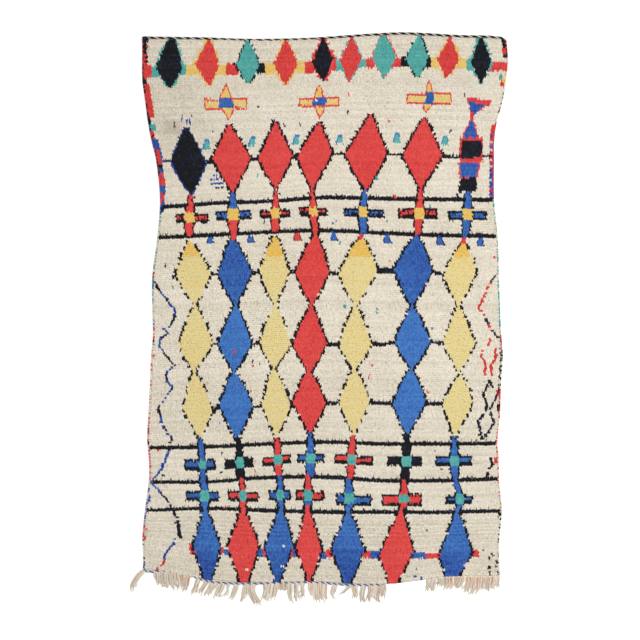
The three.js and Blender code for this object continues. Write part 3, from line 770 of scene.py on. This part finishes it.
def strand_template():
    """Faces of one three-sided strand of rings and a tip, and where each face corner lies on its map."""
    faces, places = [], []
    rings = len(RING_SHARES)
    for ring in range(rings):
        for side in range(3):
            near, far = 3 * ring + side, 3 * ring + (side + 1) % 3
            low, high = ring / rings, (ring + 1) / rings
            left, right = side / 3, (side + 1) / 3
            if ring == rings - 1:
                faces.append((near, far, 3 * rings))
                places.append(((left, low), (right, low), ((left + right) / 2, high)))
            else:
                faces.append((near, far, far + 3))
                faces.append((near, far + 3, near + 3))
                places.append(((left, low), (right, low), (right, high)))
                places.append(((left, low), (right, high), (left, high)))
    return np.array(faces), np.array(places)


STRAND_FACES, STRAND_MAP = strand_template()


def strand_corners(chosen):
    """Corners of the chosen strands, as an array of strands by corners by three."""
    lean_now = strand_lean[chosen]
    ahead = np.stack((np.sin(lean_now), np.cos(lean_now), np.zeros(len(lean_now))), axis=1)
    aside = np.stack((np.cos(lean_now), -np.sin(lean_now), np.zeros(len(lean_now))), axis=1)
    up = np.array((0.0, 0.0, 1.0))
    root = np.stack((strand_x[chosen], strand_y[chosen], np.zeros(len(lean_now))), axis=1)
    corners = []
    for share, top, foot, width in zip(RING_SHARES, RING_TOPS, RING_FEET, RING_HALF_WIDTHS):
        raised = strand_lift[chosen] if share else np.zeros(len(lean_now))
        middle = root + ahead * (share * strand_length[chosen])[:, None] + up * raised[:, None]
        sides = up * foot
        corners += [middle - aside * width + sides, middle + up * top, middle + aside * width + sides]
    tip = root + ahead * strand_length[chosen][:, None] + up * (TIP_HEIGHT + strand_lift[chosen])[:, None]
    return np.stack(corners + [tip], axis=1)


def shade_node(tree, kind, inputs=None, **settings):
    """Adds one shader node. Settings are its properties; inputs are values or outputs, by socket name."""
    made = tree.nodes.new("ShaderNode" + kind)
    for name, value in settings.items():
        setattr(made, name, value)
    for name, value in (inputs or {}).items():
        socket = next(each for each in made.inputs if each.name == name and each.enabled)
        if isinstance(value, bpy.types.NodeSocket):
            tree.links.new(value, socket)
        else:
            socket.default_value = value
    return made


def result(made):
    """The output in use of a node whose kind of value can be chosen."""
    return next(each for each in made.outputs if each.enabled)


def new_material(name):
    material = bpy.data.materials.new(name)
    material.use_nodes = True
    material.node_tree.nodes.clear()
    return material, material.node_tree


FIBRE_SCALE = 1 / (1.5 * MM)  # hand-spun wool shows clumps of fibre about a millimetre and a half across


def finish_wool(tree, colour):
    """Wool scatters light evenly and has a faint bloom of loose fibres."""
    fibre = shade_node(tree, "TexNoise", {"Scale": FIBRE_SCALE, "Detail": 2.0, "Roughness": 0.6})
    bump = shade_node(tree, "Bump", {
        "Strength": 0.35, "Distance": 0.4 * MM, "Height": fibre.outputs["Fac"],
    })
    surface = shade_node(tree, "BsdfPrincipled", {
        "Base Color": colour, "Roughness": 0.95, "Specular IOR Level": 0.2, "Sheen Weight": 0.05,
        "Sheen Roughness": 0.6, "Normal": bump.outputs["Normal"],
    })
    shade_node(tree, "OutputMaterial", {"Surface": surface.outputs["BSDF"]})


def pile_wool(yarn):
    """Hand-spun wool of one dye, paler or deeper from strand to strand."""
    material, tree = new_material("hand-spun wool, " + yarn)
    tone = shade_node(tree, "Attribute", attribute_name="dye_depth")
    deep, pale = (linear(colour) for colour in DYES[yarn])
    dyed = shade_node(tree, "Mix", {"Factor": tone.outputs["Fac"], "A": deep, "B": pale}, data_type="RGBA")
    finish_wool(tree, result(dyed))
    return material


SHARP_ANGLE = np.radians(80)  # the flat underside of a strand meets its rounded top at a sharp edge


def new_piece(name, corners, faces, material):
    """A mesh piece that lies still on the rug's one body."""
    mesh = bpy.data.meshes.new(name)
    mesh.from_pydata(corners.tolist(), [], faces.tolist())
    mesh.materials.append(material)
    mesh.shade_smooth()
    mesh.set_sharp_from_angle(angle=SHARP_ANGLE)
    piece = bpy.data.objects.new(name, mesh)
    bpy.context.scene.collection.objects.link(piece)
    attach(piece, "root")
    return piece


def add_values(mesh, name, values):
    mesh.attributes.new(name, "FLOAT", "POINT").data.foreach_set("value", np.asarray(values, np.float32))


def add_map(mesh, places):
    """A map with a cell of its own for every strand, so that a baked colour never runs into the next."""
    layer = mesh.uv_layers.new(name="OFBake")
    layer.uv.foreach_set("vector", np.asarray(places, np.float32).ravel())


CELL_MARGIN = 0.1  # of a cell, left free all round


def cells_map(count, places):
    """Every strand's face corners moved into its own cell of a square grid."""
    per_side = int(np.ceil(np.sqrt(count)))
    cell = np.arange(count)
    origin = np.stack((cell % per_side, cell // per_side), axis=1)
    inset = CELL_MARGIN + (1 - 2 * CELL_MARGIN) * places
    return (origin[:, None, None, :] + inset[None]) / per_side


def tuft_piece(name, chosen, material):
    numbers = np.flatnonzero(chosen)
    corners = strand_corners(numbers)
    per_strand = corners.shape[1]
    faces = (STRAND_FACES[None] + per_strand * np.arange(len(numbers))[:, None, None]).reshape(-1, 3)
    piece = new_piece(name, corners.reshape(-1, 3), faces, material)
    add_values(piece.data, "dye_depth", np.repeat(strand_depth[numbers], per_strand))
    add_map(piece.data, cells_map(len(numbers), STRAND_MAP))
    return piece


for yarn in DYES:
    material = pile_wool(yarn)
    bands = IVORY_BANDS if yarn == "ivory" else 1
    for band in range(bands):
        in_band = (row_of * bands) // ROWS == band
        name = f"pile_{yarn}_{band + 1}" if bands > 1 else f"pile_{yarn}"
        tuft_piece(name, (wool.ravel() == yarn) & in_band, material)

# The sheet itself, with a cell for every third knot of every second row
KNOTS_IN_CELL = 3
ROWS_IN_CELL = 2
CELLS_ACROSS = COLUMNS // KNOTS_IN_CELL
CELLS_ALONG = ROWS // ROWS_IN_CELL
rim_shares = np.arange(CELLS_ACROSS + 1) / CELLS_ACROSS
rim_y = y_at(lines_of(ROWS_IN_CELL * np.arange(CELLS_ALONG + 1) - 0.5, rim_shares)) - SHOWN_AHEAD
rim_x = x_across(rim_shares, rim_y)
rim_y[0] = end_line(rim_x[0], -1)
rim_y[-1] = end_line(rim_x[-1], 1)


def weave_faces():
    """Faces of a closed slab over a grid of corners: top, underside and the four rims."""
    across, along = CELLS_ACROSS + 1, CELLS_ALONG + 1
    grid = np.arange(across * along).reshape(along, across)
    under = grid + across * along
    top = np.stack((grid[:-1, :-1], grid[:-1, 1:], grid[1:, 1:], grid[1:, :-1]), axis=-1)
    back = np.stack((under[:-1, :-1], under[1:, :-1], under[1:, 1:], under[:-1, 1:]), axis=-1)
    rims = []
    for edge in (grid[0], grid[-1, ::-1], grid[::-1, 0], grid[:, -1]):
        below = edge + across * along
        rims.append(np.stack((edge[:-1], below[:-1], below[1:], edge[1:]), axis=-1))
    return np.concatenate([top.reshape(-1, 4), back.reshape(-1, 4), *rims])


weave_top = np.stack((rim_x, rim_y, np.full(rim_x.shape, WEAVE_TOP)), axis=-1).reshape(-1, 3)
weave_under = weave_top * (1, 1, 0) + (0, 0, WEAVE_FOOT)


def weave_wool():
    """Ivory wool cloth. Its back shows the knots as rows of short coloured bars between ivory wefts."""
    material, tree = new_material("wool ground weave")
    knots = shade_node(tree, "Attribute", attribute_name="knot_colour")
    place = shade_node(tree, "UVMap", uv_map="weave")
    parts = shade_node(tree, "SeparateXYZ", {"Vector": place.outputs["UV"]})
    in_row = shade_node(tree, "Math", {"Value": parts.outputs["Y"]}, operation="FRACT")
    on_knot = shade_node(tree, "MapRange", {
        "Value": in_row.outputs["Value"], "From Min": 0.5, "From Max": 0.6, "To Min": 0.0, "To Max": 1.0,
    })
    weft = linear(DYES["ivory"][0])
    colour = shade_node(tree, "Mix", {
        "Factor": on_knot.outputs["Result"], "A": knots.outputs["Color"], "B": weft,
    }, data_type="RGBA")
    finish_wool(tree, result(colour))
    return material


weave_corners = np.concatenate((weave_top, weave_under))
weave = new_piece("ground_weave", weave_corners, weave_faces(), weave_wool())
weave.data.shade_flat()
knot_colours = np.zeros((CELLS_ALONG, CELLS_ACROSS, 4))
cell_wool = wool[::ROWS_IN_CELL, 1::KNOTS_IN_CELL]
cell_depth = np.clip(depth[::ROWS_IN_CELL, 1::KNOTS_IN_CELL], 0, 1)
for yarn in DYES:
    knot_colours[cell_wool == yarn] = shaded(yarn, cell_depth[cell_wool == yarn])
rim_count = len(weave.data.polygons) - 2 * cell_wool.size
rim_colour = np.tile(linear(DYES["ivory"][0]), (rim_count, 1))
face_colours = np.concatenate((knot_colours.reshape(-1, 4), knot_colours.reshape(-1, 4), rim_colour))
attribute = weave.data.attributes.new("knot_colour", "FLOAT_COLOR", "FACE")
attribute.data.foreach_set("color", face_colours.astype(np.float32).ravel())
weave_layer = weave.data.uv_layers.new(name="weave")
corner_of = np.zeros(len(weave.data.loops), np.int32)
weave.data.loops.foreach_get("vertex_index", corner_of)
on_top = corner_of < len(weave_top)
corner_of %= len(weave_top)
corner_row, corner_column = np.divmod(corner_of, CELLS_ACROSS + 1)
weave_places = np.stack((corner_column, corner_row), axis=1).astype(np.float32)
weave_places[on_top] = 0  # under the pile only the knots show, with no wefts between them
weave_layer.uv.foreach_set("vector", weave_places.ravel())
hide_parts("rug_field")

# Overcast selvedges
# The two long sides are wound with leftover wool over the outermost warps, in whatever colour was to hand.
# Each is a thin round edge, ridged by its turns and coloured in stretches.
SELVEDGE_GAP = 0.3 * MM
SELVEDGE_HALF_WIDTH = 4.3 * MM
SELVEDGE_HALF_HEIGHT = 4.2 * MM
TURN = 4.6 * MM  # from one turn of the winding wool to the next
RINGS_IN_TURN = 3
ASLANT = 0.35  # of a turn, by which the winding wool runs on from one side of the edge to the other
OVERCAST_DEPTHS = (0.1, 0.6)
RIDGE = 0.16  # how far the winding wool stands out, as a share of the edge's size
SELVEDGE_SIDES = 8

# Stretches of colour from the corded end: the chart line where each begins and the wools in it
LEFT_STRETCHES = (
    (30, ("black", "black", "red")), (62, ("red", "red", "black")), (78, ("black",)),
    (85, ("black", "red")), (117, ("black",)), (125, ("turquoise", "black")), (130, ("black", "red")),
    (140, ("blue",)), (147, ("red", "black")), (160, ("red", "black")), (177, ("red",)), (186, ("blue",)),
    (192, ("red", "blue")), (206, ("black", "blue")), (214, ("ivory", "ivory", "turquoise")),
    (273, ("black", "red")), (279, ("turquoise", "blue")), (290, ("ivory", "ivory", "turquoise")),
    (322, ("blue", "ivory")), (328, ("ivory", "red")), (340, ("black", "ivory")),
    (350, ("ivory", "ivory", "red")), (425, ("black", "red", "ivory")), (445, ("ivory", "red")),
    (481, ("ivory", "ivory", "blue")), (525, ("red", "red", "ivory")), (540, ("ivory", "black", "ivory")),
    (562, ("blue",)),
)
RIGHT_STRETCHES = (
    (30, ("black", "red")), (58, ("ivory",)), (62, ("red",)), (72, ("ivory", "yellow")),
    (85, ("ivory", "ivory", "black")), (124, ("blue", "red", "red")),
    (200, ("turquoise", "ivory", "ivory")), (285, ("turquoise", "turquoise", "ivory")),
    (330, ("red", "black", "ivory")), (350, ("black", "ivory")), (390, ("red", "red", "ivory")),
    (402, ("black", "red")), (412, ("ivory", "ivory", "red")), (480, ("ivory", "ivory", "ivory", "red")),
    (510, ("black", "ivory")), (520, ("ivory", "ivory", "black")),
)


def coloured_wool(name):
    """Wool of several dyes in one piece, each turn or yarn with a colour of its own."""
    material, tree = new_material(name)
    yarns = shade_node(tree, "Attribute", attribute_name="yarn_colour")
    finish_wool(tree, yarns.outputs["Color"])
    return material


def add_colours(mesh, colours):
    attribute = mesh.attributes.new("yarn_colour", "FLOAT_COLOR", "POINT")
    attribute.data.foreach_set("color", np.asarray(colours, np.float32).ravel())


def ring_faces(rings, sides):
    """Triangles that close a run of rings of corners, with a fan at either end."""
    faces = []
    for ring in range(rings - 1):
        for side in range(sides):
            near, far = ring * sides + side, ring * sides + (side + 1) % sides
            faces += [(near, far, far + sides), (near, far + sides, near + sides)]
    last = (rings - 1) * sides
    for side in range(1, sides - 1):
        faces += [(0, side + 1, side), (last, last + side, last + side + 1)]
    return np.array(faces)


def overcast(name, node, side, outward, stretches):
    low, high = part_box(node)
    turns = int((high.y - low.y) / TURN)
    rings = turns * RINGS_IN_TURN + 1
    y = np.linspace(low.y + MM, high.y - MM, rings)
    x = np.interp(y, *side) + outward * (SELVEDGE_GAP + SELVEDGE_HALF_WIDTH)
    angle = np.linspace(0, 2 * np.pi, SELVEDGE_SIDES, endpoint=False)
    turn_share = np.arange(rings) / RINGS_IN_TURN
    ridge = 1 - RIDGE + RIDGE * abs(np.sin(np.pi * (turn_share[:, None] + ASLANT * np.cos(angle))))
    corners = np.stack((
        x[:, None] + SELVEDGE_HALF_WIDTH * ridge * np.cos(angle),
        np.repeat(y[:, None], SELVEDGE_SIDES, axis=1),
        SELVEDGE_HALF_HEIGHT * (1 - ridge * np.sin(angle)) + WEAVE_FOOT,
    ), axis=-1)
    line_of_turn = CHART_TOP + (field_high.y - y[::RINGS_IN_TURN]) / CHART_SQUARE
    turn_colours = []
    for at_line in line_of_turn:
        yarns = [yarns for begin, yarns in stretches if begin <= at_line][-1]
        yarn = str(dice.choice(yarns))
        turn_depth = BLACK_DEPTH if yarn == "black" else dice.uniform(*OVERCAST_DEPTHS)
        turn_colours.append(shaded(yarn, turn_depth))
    ring_colours = np.repeat(np.array(turn_colours), RINGS_IN_TURN, axis=0)[:rings]
    faces = ring_faces(rings, SELVEDGE_SIDES)
    piece = new_piece(name, corners.reshape(-1, 3), faces, overcast_wool)
    add_colours(piece.data, np.repeat(ring_colours, SELVEDGE_SIDES, axis=0))
    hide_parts(node)
    return piece


overcast_wool = coloured_wool("overcast wool")
overcast("overcast_left", "selvedge_left", LEFT_SIDE, -1, LEFT_STRETCHES)
overcast("overcast_right", "selvedge_right", RIGHT_SIDE, 1, RIGHT_STRETCHES)

# Twined cord at the plain end
# Three thick wool yarns, two black and one ivory, twisted round each other across the first warps to hold
# the end. A loop of the black yarn is knotted off at the left corner.
CORD_LAY = 38 * MM  # length of one turn
CORD_YARN = 2.9 * MM
CORD_OFFSET = 2.3 * MM
CORD_MIDDLE = 5.4 * MM  # of the cord, from the field's edge and from the floor
YARN_SIDES = 6


def yarn_tube(path, radii):
    """Corners and faces of a round yarn along a path that runs more level than steep."""
    ahead = np.gradient(path, axis=0)
    ahead /= np.linalg.norm(ahead, axis=1)[:, None]
    aside = np.cross(ahead, (0.0, 0.0, 1.0))
    aside /= np.linalg.norm(aside, axis=1)[:, None]
    over = np.cross(aside, ahead)
    angle = np.linspace(0, 2 * np.pi, YARN_SIDES, endpoint=False)[:, None]
    ring = np.cos(angle) * aside[:, None] + np.sin(angle) * over[:, None]
    corners = path[:, None] + np.broadcast_to(radii, len(path))[:, None, None] * ring
    return corners.reshape(-1, 3), ring_faces(len(path), YARN_SIDES)


def yarn_piece(name, yarns, material):
    """One piece of many yarns, each given by its path, its radii and its colours along the path."""
    all_corners, all_faces, all_colours = [], [], []
    count = 0
    for path, radii, colours in yarns:
        corners, faces = yarn_tube(path, radii)
        all_corners.append(corners)
        all_faces.append(faces + count)
        along = np.broadcast_to(colours, (len(path), 4))
        all_colours.append(np.repeat(along, YARN_SIDES, axis=0))
        count += len(corners)
    piece = new_piece(name, np.concatenate(all_corners), np.concatenate(all_faces), material)
    add_colours(piece.data, np.concatenate(all_colours))
    return piece


def twined(middle, lay, offset, radius, colours):
    """Yarns twisted round a line that runs across the rug."""
    turned = 2 * np.pi * (middle[:, 0] - middle[0, 0]) / lay
    yarns = []
    for number, colour in enumerate(colours):
        angle = turned + 2 * np.pi * number / len(colours)
        swing = np.stack((np.zeros(len(middle)), np.cos(angle), np.sin(angle)), axis=1)
        yarns.append((middle + offset * swing, radius, colour))
    return yarns


cord_low, cord_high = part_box("end_cord")
cord_x = np.arange(cord_low.x + 2 * MM, cord_high.x - 2 * MM, CORD_LAY / 12)
cord_y = np.interp(np.clip(cord_x, rim_x[-1, 0], rim_x[-1, -1]), rim_x[-1], rim_y[-1]) + CORD_MIDDLE
cord_line = np.stack((cord_x, cord_y, np.full(len(cord_x), CORD_MIDDLE)), axis=1)
black, pale = shaded("black", 0.0), shaded("ivory", 0.15)
cord_yarns = twined(cord_line, CORD_LAY, CORD_OFFSET, CORD_YARN, (black, black, pale))
LOOP_SIZE = np.array((11, 13, 1.5)) * MM  # half width, half length and rise of the loop at the corner
LOOP_MIDDLE = np.array((13, -11, 7)) * MM  # from the start of the cord
LOOP_TURN = (-0.3 * np.pi, 1.55 * np.pi)
turn = np.linspace(*LOOP_TURN, 24)
loop_form = np.stack((np.cos(turn), np.sin(turn), np.sin(2 * turn)), axis=1)
loop = cord_line[0] + LOOP_MIDDLE + LOOP_SIZE * loop_form
cord_yarns.append((loop, CORD_YARN, black))
cord = yarn_piece("twined_cord", cord_yarns, coloured_wool("twined wool cord"))
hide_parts("end_cord")

# Fringe
# The warps that are left over at the other end: pale hand-spun wool, held by a strip twined in blue, that
# lies on the floor in loose locks. Towards the right the strip is worn and short rusty ends stick out.
STRIP_LAY = 26 * MM
STRIP_YARN = 2.7 * MM
STRIP_OFFSET = 2.2 * MM
STRIP_MIDDLE = 5.2 * MM
FRINGE_YARN = 2.3 * MM
YARN_EVERY = 2.5 * MM  # of a lock's width
LOCK_STEPS = 13
LOCK_SPREAD = 1.5  # loose yarns lie wider than the lock they grow from
LOCK_REACH = (0.7, 1.04)  # shares of the lock's length that its yarns have
LOCK_WAVE = 3.2 * MM
WAVE_TURNS = 1.1
YARN_CURL = 4.2 * MM
CURL_TURNS = (0.4, 0.9)
YARN_LIFT = 1.5 * MM  # where one yarn lies on another
ROOT_LIFT = 3.4 * MM
TIP_SHARE = 0.6  # of a yarn's radius that is left at its tip
RUST_END = 0.9  # share of the length where rust has faded
WARP = ("#A39584", "#D3C8B9")
RUST = ("#99603C", "#C49A78")

# Each lock: column of its root, column and line of its tip, how far its middle is carried to the right in
# squares, its width in millimetres and the share of its yarns that are rusty
TWINED_LOCKS = (
    (144.6, 132.4, 592, -4, 17, 0), (156.9, 158.1, 584.9, 0, 17, 0), (162.5, 163.9, 588, 0, 18, 0),
    (167.9, 170.1, 588, 0, 18, 0.1), (173.4, 175.9, 591, -1, 20, 0.3), (180.4, 180.9, 590, 0.5, 19, 0.2),
    (188.9, 184.4, 592, 0, 13, 0.4), (199, 191.5, 596, 0.7, 13, 0.3), (206.5, 196.9, 596, 1, 13, 0.4),
    (214, 207, 596, 0, 20, 0), (222.5, 215.9, 598, 0, 20, 0), (228.9, 223.9, 598, 0.7, 8, 0),
    (236.9, 229.6, 601, 1.2, 14, 0), (246, 242, 602, 0.7, 13, 0), (252.9, 259, 605.5, -3.5, 22, 0.1),
    (266, 264, 600, 0.7, 14, 0), (273.6, 270, 601, 0, 30, 0.1), (280, 281, 590.5, 0, 15, 0.3),
    (285.6, 286, 590.5, 0, 13, 0.3), (290.5, 292, 603, -1.2, 11, 0), (297, 297.6, 603, -0.7, 12, 0),
    (302.5, 302, 598, 0, 13, 0.1), (311, 313, 599, 0, 15, 0.2), (319.5, 320.4, 602, 0, 40, 0.25),
    (335.5, 333.6, 599, -2, 13, 0), (349, 339.5, 595.5, 1.4, 10, 0), (354.5, 355.5, 600, 0, 16, 0.1),
    (363.5, 361.6, 602, 0, 13, 0), (374.5, 373, 602, 0, 36, 0.1), (383.7, 381, 599, 1, 12, 0.1),
)
LOOSE_LOCKS = (
    (428.4, 427, 591, 0, 10, 0), (434, 432, 591, 0, 14, 0.1), (441.6, 440, 586.6, 0, 20, 0.2),
    (450, 448, 590, 0.7, 26, 0.3), (460, 457.6, 588.5, 0, 30, 0.5), (469, 466, 594, 1, 22, 0.5),
    (477, 474, 594, 1, 24, 0.4), (485.6, 484.6, 592, 0, 26, 0.3), (493, 492, 590, 0, 18, 0.2),
    (497.8, 497.6, 589, 0, 9, 0),
)


def lock_yarns(locks):
    """Yarns of a run of locks, each spread over its lock's width, waved and curled a little."""
    share = np.linspace(0, 1, LOCK_STEPS)
    yarns = []
    for root, tip, tip_line, bow, width, rust_share in locks:
        spread = LOCK_SPREAD * width * MM
        count = max(3, round(spread / YARN_EVERY))
        root_x, tip_x = x_at(root), x_at(tip)
        root_y = np.interp(root_x, rim_x[0], rim_y[0]) - STRIP_MIDDLE
        lock_wave = dice.uniform(0, 2 * np.pi)
        for number in range(count):
            across = ((number + 0.5) / count - 0.5) * spread
            reach = dice.uniform(*LOCK_REACH)
            wave = LOCK_WAVE * np.sin(lock_wave + 2 * np.pi * WAVE_TURNS * share) * share
            turns = dice.uniform(*CURL_TURNS)
            curl = dice.normal(0, YARN_CURL) * np.sin(2 * np.pi * turns * share) * share
            bowed = bow * CHART_SQUARE * 4 * share * (1 - share)
            x = root_x + (tip_x - root_x) * share * reach + across + bowed + curl + wave
            y = root_y + (y_at(tip_line) - root_y) * share * reach
            over_others = dice.uniform(0, YARN_LIFT) * np.sin(np.pi * share)
            z = FRINGE_YARN + ROOT_LIFT * (1 - share) ** 2 + over_others
            colours = np.tile(between(WARP, dice.random()), (LOCK_STEPS, 1))
            if dice.random() < rust_share:
                rusty = between(RUST, dice.random())
                fade = np.clip(1.25 * (1 - share / RUST_END), 0, 1)[:, None]
                colours = colours + fade * (rusty - colours)
            radii = FRINGE_YARN * (1 - (1 - TIP_SHARE) * share ** 2)
            yarns.append((np.stack((x, y, z), axis=1), radii, colours))
    return yarns


def strip_line(first, last):
    x = np.arange(x_at(first), x_at(last), STRIP_LAY / 12)
    y = np.interp(x, rim_x[0], rim_y[0]) - STRIP_MIDDLE
    return np.stack((x, y, np.full(len(x), STRIP_MIDDLE)), axis=1)


warp_wool = coloured_wool("hand-spun warp wool")
blue, undyed = shaded("blue", 0.25), shaded("ivory", 0.4)
twined_strip = twined(strip_line(144, 383.5), STRIP_LAY, STRIP_OFFSET, STRIP_YARN, (blue, undyed))
fringe = yarn_piece("fringe_twined_yarns", twined_strip + lock_yarns(TWINED_LOCKS), warp_wool)
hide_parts("fringe_twined")
tan = np.array(linear(WARP[1]))
loose_strip = twined(strip_line(427, 498), STRIP_LAY, STRIP_OFFSET, STRIP_YARN, (tan, undyed))
loose = yarn_piece("fringe_loose_yarns", loose_strip + lock_yarns(LOOSE_LOCKS), warp_wool)
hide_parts("fringe_loose")

# Floor, light and camera
# A matt white floor under an even white sky, with one large soft lamp almost overhead. The camera looks
# straight down on the middle of the picture.
floor_mesh = bpy.data.meshes.new("floor")
FLOOR_HALF = 9  # metres
floor_corners = [(FLOOR_HALF * x, FLOOR_HALF * y, 0) for x, y in ((-1, -1), (1, -1), (1, 1), (-1, 1))]
floor_mesh.from_pydata(floor_corners, [], [(0, 1, 2, 3)])
floor = bpy.data.objects.new("floor", floor_mesh)
bpy.context.scene.collection.objects.link(floor)
material, tree = new_material("matt white paint")
surface = shade_node(tree, "BsdfPrincipled", {"Base Color": linear("#F4F4F2"), "Roughness": 0.9})
shade_node(tree, "OutputMaterial", {"Surface": surface.outputs["BSDF"]})
floor_mesh.materials.append(material)

world = bpy.data.worlds.new("studio")
world.use_nodes = True
world.node_tree.nodes["Background"].inputs["Color"].default_value = (1, 1, 1, 1)
world.node_tree.nodes["Background"].inputs["Strength"].default_value = 0.95
bpy.context.scene.world = world

key_data = bpy.data.lights.new("key", "AREA")
key_data.energy = 130
key_data.size = 3
key = bpy.data.objects.new("key", key_data)
key.location = (1.3, 0.1, 4.4)
key.rotation_euler = (Vector((0.2, 0, 0)) - key.location).to_track_quat("-Z", "Y").to_euler()
bpy.context.scene.collection.objects.link(key)

camera_data = bpy.data.cameras.new("camera")
camera_data.lens = 85
PICTURE = 640  # squares of the chart that the picture takes in
camera = bpy.data.objects.new("camera", camera_data)
camera_height = PICTURE * CHART_SQUARE * camera_data.lens / camera_data.sensor_width
camera.location = (float(x_at(PICTURE / 2)), float(y_at(PICTURE / 2)), camera_height)
bpy.context.scene.collection.objects.link(camera)
bpy.context.scene.camera = camera
bpy.context.scene.view_settings.view_transform = "Standard"
